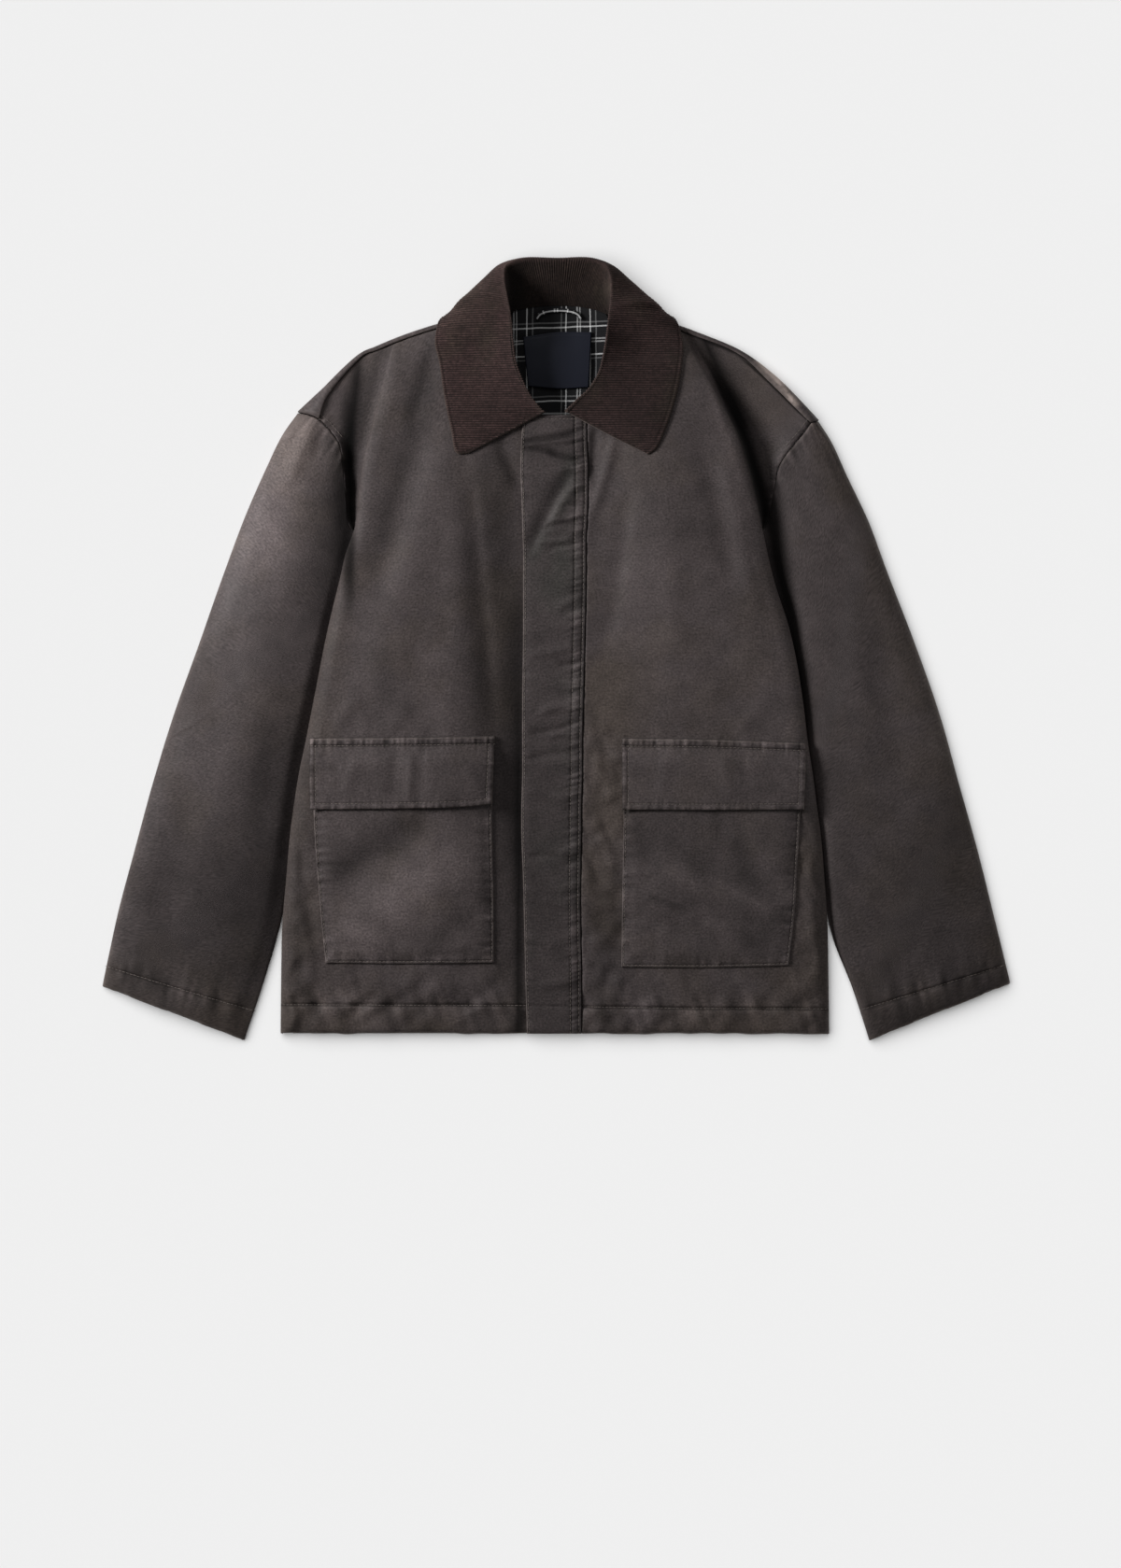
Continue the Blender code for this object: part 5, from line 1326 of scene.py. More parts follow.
def make_flap(side):
    seed = 131 if side == "right" else 149
    width, height = 185.0, 72.0
    us = spaced(0.0, width, 1.3, (0.0, width, 6.0, width - 6.0), 0.5, 0.16) / width
    vs = spaced(0.0, height, 1.4, (0.0, 6.0, height, height - 8.0), 0.5, 0.16) / height
    flat = patch(*FLAP_EDGES[side], us, vs)
    x, y = flat[..., 0], flat[..., 1]
    left, right, bottom, top = from_edges(us, vs, width, height)
    edge = np.minimum(np.minimum(left, right), bottom)
    z = front_base(side, x, y) + 0.7 * front_relief(side, x, y)
    z += mix(2.6, FLAP_RISE + 1.0, ease(top / 30.0)) + unevenness(x, y, seed, 0.8)
    z += -0.4 * bell(edge - FLAP_STITCH, 1.0) + 0.35 * bell(edge - 2.8, 2.0)
    z += -1.1 * bell(top - FLAP_BAND, 1.2) + 0.6 * bell(top - 4.0, 2.6)
    z += edge_roll(edge, 1.5, 1.5) + edge_roll(top, 2.2, 2.0)
    z += folds_at(x, y, FLAP_FOLDS) * ease(edge / 8.0)
    # Painted shadow along the top edge, painted shade on the left edge, darker lines along the stitching, and painted
    # light and shade on the puckers, for the tone.
    ticks = -0.9 * bell(edge - FLAP_STITCH, 0.9) - 1.7 * bell(top - 8.6, 1.2)
    ticks += -3.2 * bell(top, 0.8) - 2.2 * bell(left, 0.9)
    for away, along, number, strength in ((left, y, 1, 1.2), (right, y, 2, 1.2), (bottom, x, 3, 1.2),
                                          (np.abs(top - 5.0), x, 4, 1.7)):
        ripple = strength * puckers(along, away, 5.2, 6.0, seed + 10 * number)
        z += 0.40 * ripple
        ticks += ripple
    grid = np.stack([x, y, z], axis=2)
    wear = 0.42 * bell(np.minimum(edge, left + 9.0), 0.9) * (0.8 + 0.4 * noise(x, y, 8.0, seed + 6))
    wear *= 1.0 - bell(left, 1.6)
    wear += 0.24 * bell(top - 1.9, 0.8)
    return cloth("cloth_flap_" + side, grid, FLAP_WALL, WAXED, unrolled(grid, len(us) // 2), wear,
                 tone=0.5 * np.exp(0.42 * ticks))


def placket_edges(y):
    levels = column(RIGHT_FRONT, "y")
    left = smooth_at(levels, column(RIGHT_FRONT, "placket_x"), y)
    right = smooth_at(column(LEFT_FRONT, "y"), column(LEFT_FRONT, "centre_x"), y) - 0.5
    return left, right


PLACKET_LINES = (2.8, 11.3)  # how far its lines of stitches lie from its edge at the wearer's left
PLACKET_FAR_LINE = 2.4  # and from the other edge


def make_placket():
    width = 60.0
    us = spaced(0.0, width, 1.9, (0.0, 2.4, width - 11.3, width - 2.8, width), 0.5, 0.23) / width
    ys = spaced(HEM_Y, PLACKET_TOP, 1.35, (HEM_Y, HEM_SEAM_Y, PLACKET_TOP - 3.0, PLACKET_TOP), 0.6, 0.2)
    left_x, right_x = placket_edges(ys)
    x = mix(left_x[:, None], right_x[:, None], us[None, :])
    y = ys[:, None] + 0.0 * x
    left, right = us[None, :] * width + 0.0 * y, (1.0 - us[None, :]) * width + 0.0 * y
    bottom, top = y - HEM_Y, PLACKET_TOP - y
    z = front_base("right", np.minimum(x, RIGHT_FRONT[0].centre_x), y) + PLACKET_RISE
    z += 0.5 * unevenness(x, y, 163, 1.0) + folds_at(x, y, PLACKET_FOLDS) * ease(right / 3.0)
    z += 0.7 * ease(left / 9.0) + 0.5 * bell(right - 7.0, 3.0)
    for place in PLACKET_LINES:
        z += -0.75 * bell(right - place, 1.0)
    z += -0.3 * bell(left - PLACKET_FAR_LINE, 0.9)
    ripple = puckers(y + 0.25 * right, np.maximum(np.abs(right - 7.0) - 4.0, 0.0), 4.4, 5.0, 167)
    ripple += 0.35 * puckers(y + 0.3 * right, np.abs(right - 7.0) * 0.5, 14.0, 12.0, 169)
    ripple_left = puckers(y, left, 7.0, 6.0, 173)
    z += 0.48 * ripple + 0.45 * ripple_left
    # Painted light and shade on the puckers and darker lines along the stitching, for the tone with the placket's
    # shading table.
    ticks = ripple + 0.8 * ripple_left - 0.8 * bell(left - 2.6, 1.0)
    for place in PLACKET_LINES:
        ticks += -1.1 * bell(right - place, 1.0)
    z += edge_roll(left, 1.4, 1.4) + edge_roll(right, 1.6, 1.5) + edge_roll(top, 1.6, 1.6)
    z += -0.5 * bell(top - 4.0, 1.0) + edge_roll(bottom, 2.6, 4.0)
    ditch = y - hem_ditch_y(x)
    z += -0.6 * bell(ditch, 1.6) + 0.3 * noise(x, y, 6.0, 177, 2.0) * np.exp(-np.abs(ditch) / 10.0)
    grid = np.stack([x, y, z], axis=2)
    wear = (0.42 * bell(left, 0.9) + 0.15 * bell(top, 1.2)
            + 0.35 * bell(bottom, 1.4)) * (0.8 + 0.4 * noise(x, y, 10.0, 181))
    greener = olive_near(x, y, -900.0, [(((16.0, 190.0), (8.0, 150.0), (-10.0, 118.0), (-22.0, 98.0)), 9.0, 0.9),
                                    (((10.0, 120.0), (0.0, 66.0)), 15.0, 0.8)])
    return cloth("cloth_placket", grid, PLACKET_WALL, WAXED_STRIP, unrolled(grid, len(us) // 2), wear, olive=greener,
                 tone=0.5 * np.exp(folds_at(x, y, PLACKET_SHADING_PAINT) + 0.48 * ticks))


# ---- the collar --------------------------------------------------------------------------------------------------
def collar_grid():
    """Points up the stand, over the roll and down the fall, for many sections round the neck."""
    seam, roll, mid, edge = (np.array([[getattr(row, part + axis) for axis in ("_x", "_y", "_z")]
                                       for row in COLLAR_SECTIONS]) for part in ("seam", "roll", "mid", "edge"))
    below = ["cloth_front_right", "cloth_front_left", "cloth_back", "cloth_placket"]
    for points, above in ((mid, 1.6), (edge, 0.8)):
        lying = points[:, 2] == 0.0
        heights, _ = lifted(points[lying, 0], points[lying, 1], below)
        points[lying, 2] = heights + COLLAR_WALL + above
    pass_at = column(COLLAR_SECTIONS, "pass_at")
    knots = lengths_along(mid)
    rows = spaced(0.0, knots[-1], 2.4, (0.0, knots[-1]), 0.8, 0.25)
    seam, roll, mid, edge, at = (smooth_at(knots, v, rows)[:, None] for v in (seam, roll, mid, edge, pass_at))
    at = at[..., None]
    up = np.linspace(0.0, 1.0, 13, endpoint=False)[None, :, None]
    stand = mix(seam, roll, up)
    stand[..., 2:] -= 4.0 * STAND_SAG * up * (1.0 - up)
    pull = (mid - roll * (1.0 - at) ** 2 - edge * at * at) / (2.0 * at * (1.0 - at))
    down = spaced(0.0, FALL, 2.6, (0.0, FALL, FALL - COLLAR_STITCH), 0.7, 0.2)[None, :, None] / FALL
    fall = roll * (1.0 - down) ** 2 + pull * (2.0 * down * (1.0 - down)) + edge * down * down
    heights, _ = lifted(fall[..., 0], fall[..., 1], below)
    resting = np.where(np.isnan(heights), -1e9, heights + COLLAR_WALL + 0.7)
    lift = np.maximum(resting - fall[..., 2], 0.0)
    lift = smoothed(smoothed(lift, 6, 0), 4, 1)
    fall[..., 2] = np.maximum(fall[..., 2] + lift, resting)
    grid = np.concatenate([stand, fall], axis=1)
    for _ in range(2):
        grid[:, 1:-1] = 0.5 * grid[:, 1:-1] + 0.25 * (grid[:, :-2] + grid[:, 2:])
    return grid, rows, down[0, :, 0] * FALL, up.shape[1]


# Greener patches of the collar: the middle of each, its half width and how olive it is.
GREEN_PATCHES = ((-98, 364, 30, 0.7), (78, 382, 24, 0.6), (120, 262, 15, 0.6))


def make_collar():
    sections, rows, from_roll, stand_count = collar_grid()
    grid = np.swapaxes(sections, 0, 1).copy()
    ends = np.minimum(rows, rows[-1] - rows)[None, :]
    edge = np.full((grid.shape[0], 1), FAR)
    edge[stand_count:, 0] = FALL - from_roll
    edge = np.minimum(edge, np.where(np.arange(grid.shape[0])[:, None] >= stand_count, ends, FAR))
    x, y = grid[..., 0], grid[..., 1]
    relief = 0.4 * unevenness(x, y, 191, 0.8) - 0.35 * bell(edge - COLLAR_STITCH, 1.0)
    relief += edge_roll(edge, 1.5, 1.6) + 0.25 * noise(x, y, 7.0, 193) * np.exp(-edge / 6.0)
    grid += facing(grid) * relief[..., None]
    roll = np.full(edge.shape, FAR)
    roll[stand_count:] = from_roll[:, None]
    wear = 0.30 * bell(edge, 1.1) + 0.10 * bell(roll - 1.0, 2.5)
    # Painted shade and light in the tone: darker towards the right leaf, which faces away from the light, and towards
    # the back, with a painted light patch high on the right leaf, painted shade low on it, and random unevenness.
    tone = 0.5 * np.interp(x, (-100.0, 100.0), (1.04, 0.75)) * np.interp(y, (335.0, 365.0), (1.0, 0.86))
    tone *= 1.0 + 0.90 * np.exp(-((x - 86.0) / 28.0) ** 2 - ((y - 350.0) / 34.0) ** 2)
    tone *= 1.0 - 0.14 * np.exp(-((x - 90.0) / 34.0) ** 2 - ((y - 232.0) / 34.0) ** 2)
    tone *= 1.0 + 0.16 * noise(x, y, 13.0, 197) + 0.10 * noise(x, y, 5.0, 199)
    # Painted shade inside the stand: a shadow under the roll at its left, and darker towards its foot.
    inside = np.arange(grid.shape[0])[:, None] < stand_count
    up = np.clip(np.arange(grid.shape[0])[:, None] / stand_count, 0.0, 1.0)
    tone *= np.where(inside, (1.0 - 0.85 * bell(x + 44.0, 17.0)) * mix(0.36, 1.0, up), 1.0)
    greener = 0.6 * inside + 0.0 * x
    for green_x, green_y, wide, most in GREEN_PATCHES:
        greener = np.maximum(greener, most * np.exp(-((x - green_x) ** 2 + (y - green_y) ** 2) / wide ** 2))
    piece = cloth("cloth_collar", grid, COLLAR_WALL, CORDED_SHADED_GROUND, unrolled(grid, grid.shape[1] // 2), wear,
                  olive=greener, tone=tone)
    return piece, grid, edge, (wear, tone, greener), stand_count


def wale_phase(grid, stand_count):
    """Where each place of the collar lies across the wales, in millimetres: level on a leaf, upright at the back."""
    fall = grid[stand_count:]
    middle = fall[len(fall) // 2]
    columns = grid.shape[1]
    back = int(np.argmax(grid[stand_count, :, 1]))
    halves = []
    for half in (slice(0, back + 1), slice(columns - 1, back - 1, -1)):
        y, mid_x, mid_y = grid[:, half, 1], middle[half, 0], middle[half, 1]
        level = 1.0 - ease((mid_y - 318.0) / 52.0)
        dy, dx = np.abs(np.diff(mid_y)), np.abs(np.diff(mid_x))
        share = 0.5 * (level[1:] + level[:-1])
        straight = mid_y[0] + np.concatenate([[0.0], np.cumsum(share * dy + (1.0 - share) * np.hypot(dx, dy))])
        phase = mix(straight[None, :], y, level[None, :])
        phase[:stand_count] = phase[stand_count]
        halves.append(phase)
    first, second = halves
    joined = first[0, -1] + second[0, -1] - second[:, ::-1][:, 1:]
    return np.concatenate([first, joined], axis=1)


def wale_lines(grid, edge, looks, stand_count):
    """Middles of the corduroy's wales, each a list of (place, up, thickness, wear, tone, olive)."""
    phase = np.maximum.accumulate(wale_phase(grid, stand_count), axis=1)
    normal = facing(grid)
    columns = np.arange(grid.shape[1])
    lines = []
    for value in np.arange(np.ceil(phase.min() / WALE_PITCH) * WALE_PITCH, phase.max(), WALE_PITCH):
        line = []
        for row in range(grid.shape[0]):
            if not phase[row, 0] <= value <= phase[row, -1]:
                continue
            at = np.interp(value, phase[row], columns)
            low = min(int(at), len(columns) - 2)
            share = at - low
            place = mix(grid[row, low], grid[row, low + 1], share)
            up = mix(normal[row, low], normal[row, low + 1], share)
            near = mix(edge[row, low], edge[row, low + 1], share)
            # Each wale takes the collar's tone, with its painted shade and light, and random flecks.
            wear, tone, greener = (mix(look[row, low], look[row, low + 1], share) for look in looks)
            flecks = 0.26 * noise(5.3 * value, 2.6 * row, 6.5, 203) + 0.16 * noise(9.1 * value, 2.6 * row, 3.2, 205)
            thick = 0.45 + 0.55 * ease(near / 1.4) - 0.22 * bell(near - COLLAR_STITCH, 0.9)
            line.append((place - 0.62 * up, up, thick, wear, tone * (1.0 + flecks), greener))
        if len(line) > 2:
            lines.append(line)
    return lines


# ---- inside the neck ---------------------------------------------------------------------------------------------
def make_lining():
    us, vs = np.linspace(0.0, 1.0, 60), np.linspace(0.0, 1.0, 54)
    x0, x1, y0, y1 = LINING_LEFT, LINING_RIGHT, LINING_BOTTOM, LINING_TOP
    flat = patch(((x0, y0), (x0 + 5.0, mix(y0, y1, 0.5)), (x0 + 38.0, y1)),
                 ((x1, y0), (x1 - 5.0, mix(y0, y1, 0.5)), (x1 - 38.0, y1)),
                 ((x0, y0), (x1, y0)), ((x0 + 38.0, y1), (x1 - 38.0, y1)), us, vs)
    x, y = flat[..., 0], flat[..., 1]
    z = 3.5 + 1.2 * ease((y - 325.0) / 18.0) + 0.5 + 0.5 * unevenness(x, y, 211, 1.2)
    grid = np.stack([x, y, z], axis=2)
    cut = np.stack([x, y - 0.035 * x], axis=2)
    return cloth("cloth_lining_back", grid, 0.8, PLAID, cut)


def make_label():
    low_left, low_right, top_left, top_right = LABEL_CORNERS
    us, vs = (spaced(0.0, size, 1.6, (0.0, size), 0.4, 0.2) / size for size in LABEL_SIZE)
    flat = patch((low_left, top_left), (low_right, top_right), (low_left, (4.0, 263.4), low_right),
                 (top_left, (1.0, 320.4), top_right), us, vs)
    x, y = flat[..., 0], flat[..., 1]
    left, right, bottom, top = from_edges(us, vs, *LABEL_SIZE)
    edge = np.minimum(np.minimum(left, right), np.minimum(bottom, top))
    z = 6.4 + 1.0 * np.sin(pi * us)[None, :] + 1.0 * np.sin(pi * vs)[:, None] + edge_roll(edge, 0.7, 0.9)
    z += 0.25 * noise(x, y, 14.0, 223) - 0.2 * bell(top - 2.0, 0.7)
    grid = np.stack([x, y, z], axis=2)
    return cloth("cloth_label", grid, 0.7, SATIN, np.stack([x, y], axis=2))


def make_loop():
    path = np.array(LOOP_PATH)
    centre = smooth_at(np.arange(len(path)), path, np.linspace(0.0, len(path) - 1.0, 60))
    ahead = np.gradient(centre, axis=0)
    aside = np.stack([-ahead[:, 1], ahead[:, 0], 0.0 * ahead[:, 0]], axis=1)
    aside /= np.linalg.norm(aside, axis=1, keepdims=True)
    across = np.linspace(-0.5, 0.5, 9)[:, None, None]
    grid = centre[None] + aside[None] * across * LOOP_WIDTH
    grid[..., 2:] += 1.1 * (1.0 - 4.0 * across ** 2) + 0.8
    run = lengths_along(centre)
    level = 0.0 * grid[..., 0]
    cut = np.stack([run[None] + level, LOOP_LINE + across[..., 0] * LOOP_WIDTH + level], axis=2)
    return cloth("cloth_hanger_loop", grid, 0.8, PLAID, cut)


# ---- what repeats: stitches and wales, made along lines by geometry nodes ----------------------------------------
def line_mesh(name, lines, values):
    """A mesh of edges along each line, with named values on its points."""
    mesh = bpy.data.meshes.new(name)
    points, edges = [], []
    for line in lines:
        start = len(points)
        points.extend(tuple(item[0] * MM) for item in line)
        edges.extend((start + n, start + n + 1) for n in range(len(line) - 1))
    mesh.from_pydata(points, edges, [])
    for column_number, (key, kind) in enumerate(values, 1):
        data = [item[column_number] for line in lines for item in line]
        made = mesh.attributes.new(key, kind, "POINT")
        made.data.foreach_set("vector" if kind == "FLOAT_VECTOR" else "value",
                              np.asarray(data, np.float32).ravel())
    return linked(name, mesh)


def node_tree(name, sizes):
    """An empty geometry tree with a line input, named sizes, a finish and one result."""
    tree = bpy.data.node_groups.new(name, "GeometryNodeTree")
    face = tree.interface
    face.new_socket("Lines", in_out="INPUT", socket_type="NodeSocketGeometry")
    for size in sizes:
        kind = "NodeSocketInt" if size == "Seed" else "NodeSocketFloat"
        face.new_socket(size, in_out="INPUT", socket_type=kind)
    face.new_socket("Finish", in_out="INPUT", socket_type="NodeSocketMaterial")
    face.new_socket("Result", in_out="OUTPUT", socket_type="NodeSocketGeometry")
    given = tree.nodes.new("NodeGroupInput")
    return tree, given.outputs


def result_of(tree, geometry, finish):
    real = add(tree, "GeometryNodeRealizeInstances", geometry)
    shaded = add(tree, "GeometryNodeSetShadeSmooth", real)
    done = placed(tree, "GeometryNodeSetMaterial", {"Geometry": shaded, "Material": finish})
    end = tree.nodes.new("NodeGroupOutput")
    tree.links.new(done[0], end.inputs[0])


def tube(tree, curve, radius, more):
    """A closed six-sided tube round a curve."""
    ring = placed(tree, "GeometryNodeCurvePrimitiveCircle", {"Resolution": 6, "Radius": radius})
    return placed(tree, "GeometryNodeCurveToMesh",
                  {"Curve": curve, "Profile Curve": ring[0], "Fill Caps": True, **more})[0]


def stitch_tree():
    """Short arcs of thread, one after another along the lines."""
    tree, given = node_tree("stitch_rows", ("Pitch", "Length", "Radius", "Seed"))
    curve = add(tree, "GeometryNodeMeshToCurve", given["Lines"])
    points = placed(tree, "GeometryNodeResampleCurve", {"Curve": curve, "Length": given["Pitch"]}, mode="LENGTH")
    half, minus = (maths(tree, "MULTIPLY", given["Length"], times) for times in (0.5, -0.5))
    low, high = (maths(tree, "MULTIPLY", given["Radius"], times) for times in (-0.9, 1.7))
    ends = {key: add(tree, "ShaderNodeCombineXYZ", x, None, z)
            for key, x, z in (("Start", minus, low), ("Middle", None, high), ("End", half, low))}
    arc = placed(tree, "GeometryNodeCurveQuadraticBezier", {"Resolution": 5, **ends})
    one = tube(tree, arc[0], given["Radius"], {})
    tangent = add(tree, "GeometryNodeInputTangent")
    up = placed(tree, "GeometryNodeInputNamedAttribute", {"Name": "up"}, data_type="FLOAT_VECTOR")
    ahead = placed(tree, "FunctionNodeAlignRotationToVector", {"Vector": tangent}, axis="X")
    upright = placed(tree, "FunctionNodeAlignRotationToVector", {"Rotation": ahead[0], "Vector": up[0]},
                     axis="Z", pivot_axis="X")
    uneven = placed(tree, "FunctionNodeRandomValue", {2: 0.82, 3: 1.1, "Seed": given["Seed"]}, data_type="FLOAT")
    place = placed(tree, "GeometryNodeInstanceOnPoints",
                   {"Points": points[0], "Instance": one, "Rotation": upright[0], "Scale": uneven[1]})
    result_of(tree, place[0], given["Finish"])
    return tree


def wale_tree():
    """A rib along each line, as thick at each point as its value says."""
    tree, given = node_tree("corduroy_wales", ("Radius",))
    curve = add(tree, "GeometryNodeMeshToCurve", given["Lines"])
    thick = placed(tree, "GeometryNodeInputNamedAttribute", {"Name": "thick"})
    result_of(tree, tube(tree, curve, given["Radius"], {"Scale": thick[0]}), given["Finish"])
    return tree


def grown(name, lines, tree, sizes):
    """The plain mesh that a tree makes along lines, with the modifier gone."""
    grow = lines.modifiers.new("grow", "NODES")
    grow.node_group = tree
    for item in tree.interface.items_tree:
        if item.item_type == "SOCKET" and item.in_out == "INPUT" and item.name in sizes:
            grow[item.identifier] = sizes[item.name]
    graph = bpy.context.evaluated_depsgraph_get()
    mesh = bpy.data.meshes.new_from_object(lines.evaluated_get(graph), preserve_all_data_layers=True,
                                           depsgraph=graph)
    mesh.name = name
    lines.modifiers.remove(grow)
    old = lines.data
    lines.data = mesh
    lines.name = name
    bpy.data.meshes.remove(old)
    return lines


def stitched(path, names, above=0.12):
    """A stitch line laid on the highest of some surfaces, through corners given in millimetres."""
    path = np.asarray(path, float)
    knots = lengths_along(path)
    places = np.linspace(0.0, knots[-1], max(int(knots[-1] / 1.2), 2))
    x, y = np.interp(places, knots, path[:, 0]), np.interp(places, knots, path[:, 1])
    heights, normals = lifted(x, y, names)
    runs, run = [], []
    for number in range(len(places)):
        up = normals[number]
        if np.isnan(heights[number]) or up[2] < 0.25:
            runs.append(run)
            run = []
        else:
            run.append((np.array((x[number], y[number], heights[number])) + above * up, up))
    return [run for run in (*runs, run) if len(run) > 3]


def inset(path, distance):
    """A path moved to its left by a distance."""
    path = np.asarray(path, float)[:, :2]
    ahead = np.gradient(path, axis=0)
    ahead /= np.linalg.norm(ahead, axis=1, keepdims=True)
    return path + np.stack([-ahead[:, 1], ahead[:, 0]], axis=1) * distance


def edge_path(edges, number, distance, count):
    """One edge of a patch, moved inwards: 0 left, 1 right, 2 bottom, 3 top."""
    path = along_path(edges[number], np.linspace(0.0, 1.0, count))
    return inset(path, distance if number in (1, 2) else -distance)


def clipped(path, other, distance):
    """A path without what lies nearer to another edge than a distance."""
    away, _ = beside(path[:, 0], path[:, 1], other)
    return path[away >= distance - 0.05]


def three_sides(edges, distance):
    """Lines inside the left, right and bottom edges of a patch, each ending where it meets the next."""
    for number in (0, 1, 2):
        path = edge_path(edges, number, distance, 60)
        for other in (0, 1, 2):
            if other != number:
                path = clipped(path, along_path(edges[other], np.linspace(0.0, 1.0, 30)), distance)
        yield path


def all_stitches():
    rows = []
    for side in ("right", "left"):
        pocket, flap = POCKET_EDGES[side], FLAP_EDGES[side]
        for path in three_sides(pocket, POCKET_STITCH):
            rows += stitched(path[path[:, 1] < -152.0], ["cloth_pocket_" + side])
        name = "cloth_flap_" + side
        for path in three_sides(flap, FLAP_STITCH):
            rows += stitched(clipped(path, along_path(flap[3], np.linspace(0.0, 1.0, 30)), FLAP_BAND), [name])
        rows += stitched(edge_path(flap, 3, FLAP_BAND, 30), [name])
    ys = np.linspace(HEM_Y + 1.5, PLACKET_TOP - 4.0, 160)
    left_x, right_x = placket_edges(ys)
    for x in (left_x + PLACKET_FAR_LINE, *(right_x - place for place in PLACKET_LINES)):
        rows += stitched(np.stack([x, ys], axis=1), ["cloth_placket"])
    rows += stitched([(left_x[-1] + PLACKET_FAR_LINE, ys[-1]), (right_x[-1] - PLACKET_LINES[0], ys[-1])],
                     ["cloth_placket"])
    for side in ("right", "left"):
        rows += stitched(sewn_paths["cuff_" + side], ["cloth_sleeve_" + side], 0.2)
        beyond = 5.0 if side == "right" else -5.0
        armhole = inset(along_path([row[:2] for row in SIDES[side][2][3:6]], np.linspace(0.0, 1.0, 40)), beyond)
        rows += stitched(armhole, ["cloth_front_" + side], 0.2)
    for side, ends in (("right", (-274.0, -32.0)), ("left", (28.5, 271.0))):
        xs = np.linspace(*ends, 60)
        rows += stitched(np.stack([xs, hem_ditch_y(xs)], axis=1), ["cloth_front_" + side], 0.2)
    return rows


# ---- the jacket --------------------------------------------------------------------------------------------------
def make_jacket():
    made = {"front_" + side: make_front(side) for side in ("right", "left")}
    made["back"] = make_back()
    for side in ("right", "left"):
        made["sleeve_" + side] = make_sleeve(side)
        made["pocket_" + side] = make_pocket(side)
        made["flap_" + side] = make_flap(side)
    made["placket"] = make_placket()
    made["collar"], *corded = make_collar()
    made["lining_back"] = make_lining()
    made["label"] = make_label()
    made["hanger_loop"] = make_loop()
    wales = line_mesh("corduroy_wales", wale_lines(*corded),
                      (("up", "FLOAT_VECTOR"), *((key, "FLOAT") for key in ("thick", "wear", "tone", "olive"))))
    wales = grown("corduroy_wales", wales, wale_tree(), {"Radius": 1.02 * MM, "Finish": CORDED})
    seams = line_mesh("stitching", all_stitches(), (("up", "FLOAT_VECTOR"),))
    seams = grown("stitching", seams, stitch_tree(),
                  {"Pitch": 4.0 * MM, "Length": 3.1 * MM, "Radius": 0.26 * MM, "Seed": 4, "Finish": THREAD})
    return made, wales, seams


SLOTS = {"collar": "corduroy", "lining_back": "plaid_lining", "hanger_loop": "plaid_lining",
         "label": "label_satin"}
# The cut of each piece: width and length in metres, and its flat area where it isn't a rectangle.
CUTS = {
    "front_right": (0.345, 0.735, 0.215), "front_left": (0.310, 0.735, 0.180), "back": (0.560, 0.740, 0.340),
    "sleeve_right": (0.310, 0.620, 0.170), "sleeve_left": (0.310, 0.620, 0.170),
    "pocket_right": (0.182, 0.190, None), "pocket_left": (0.180, 0.194, None),
    "flap_right": (0.186, 0.073, None), "flap_left": (0.184, 0.072, None), "placket": (0.061, 0.623, None),
    "collar": (0.400, 0.125, 0.042), "lining_back": (0.162, 0.128, 0.017), "label": (0.063, 0.056, None),
    "hanger_loop": (0.048, 0.010, 0.00026),
}


def declare(made, wales, seams):
    for node, piece in made.items():
        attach(piece, "root")
        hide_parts(node)
        SLOTS.get(node, "waxed_cotton")
        width, length, area = CUTS[node]
    for piece, slot in ((wales, "corduroy"), (seams, "waxed_cotton")):
        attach(piece, "root")


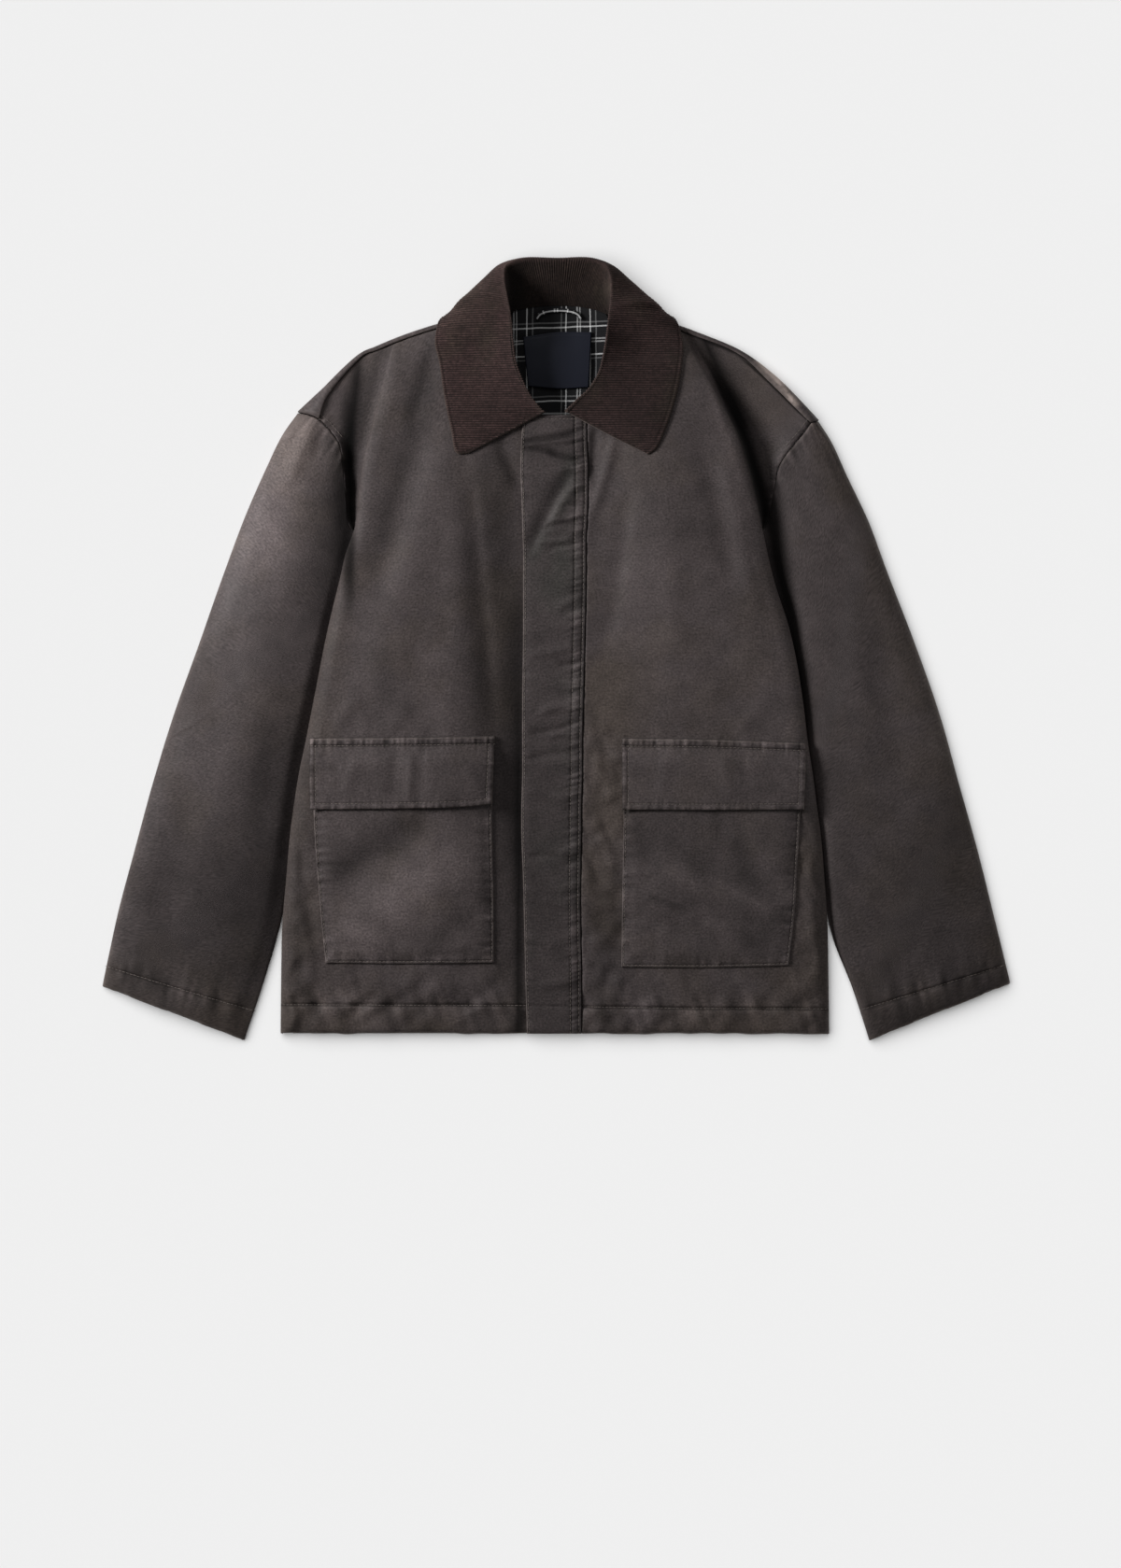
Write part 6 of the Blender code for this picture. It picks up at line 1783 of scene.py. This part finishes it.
# ---- floor, light and camera -------------------------------------------------------------------------------------
def make_stage():
    mesh = bpy.data.meshes.new("floor")
    half = 30.0
    corners = [(x * half, y * half, 0.0) for x, y in ((-1, -1), (1, -1), (1, 1), (-1, 1))]
    mesh.from_pydata(corners, [], [(0, 1, 2, 3)])
    material, tree, shader = new_finish("pale_floor")
    surfaced(tree, shader, (0.80, 0.80, 0.80, 1.0), 1.0, 0.0)
    mesh.materials.append(material)
    floor = linked("floor", mesh)
    floor.location.z = -0.0004
    return floor


def lamp(name, kind, toward, strength, spread_over, lights_only, place=(0.0, 0.0, 0.0)):
    """A lamp shining from a direction, or from a place, and flagged off everything but the pieces it lights."""
    data = bpy.data.lights.new(name, kind)
    data.energy = strength
    if kind == "SUN":
        data.angle = spread_over * pi / 180.0
    else:
        data.shape = "DISK"
        data.size = spread_over
    made = linked(name, data)
    made.rotation_mode = "QUATERNION"
    made.rotation_quaternion = Vector(toward).to_track_quat("Z", "Y")
    made.location = place
    group = bpy.data.collections.new(name + "_lights")
    for piece in lights_only:
        group.objects.link(piece)
    made.light_linking.receiver_collection = group


def make_light(floor, pieces):
    world = bpy.data.worlds.new("studio")
    world.use_nodes = True
    sky = world.node_tree.nodes["Background"].inputs
    sky["Color"].default_value = (1.0, 1.0, 1.0, 1.0)
    sky["Strength"].default_value = 0.10
    bpy.context.scene.world = world
    lamp("floor_light", "SUN", (-0.40, 0.35, 1.00), 3.5, 80.0, [floor])
    lamp("key", "AREA", (-1.60, 0.58, 0.99), 54.5, 0.7, pieces, (-1.68, 0.58, 0.99))
    lamp("fill", "AREA", (0.90, -0.20, 0.50), 1.5, 0.6, pieces, (1.00, -0.15, 0.50))
    lamp("top", "SUN", (-0.15, 0.90, 1.00), 0.50, 40.0, pieces)


# The frame seen from above: its height, and where its middle is.
FRAME_HEIGHT = 1679 * 0.94
FRAME_MIDDLE = ((600.0 - 595.5) * 0.94, (696.0 - 839.5) * 0.94)


def make_camera():
    data = bpy.data.cameras.new("camera")
    data.sensor_width = 36.0
    data.lens = 36.0 * 5.0 / (FRAME_HEIGHT * MM)
    camera = linked("camera", data)
    camera.location = (FRAME_MIDDLE[0] * MM, FRAME_MIDDLE[1] * MM, 5.012)
    bpy.context.scene.camera = camera
    bpy.context.scene.view_settings.view_transform = "Standard"


make_camera()
made, wales, seams = make_jacket()
declare(made, wales, seams)
make_light(make_stage(), [*made.values(), wales, seams])
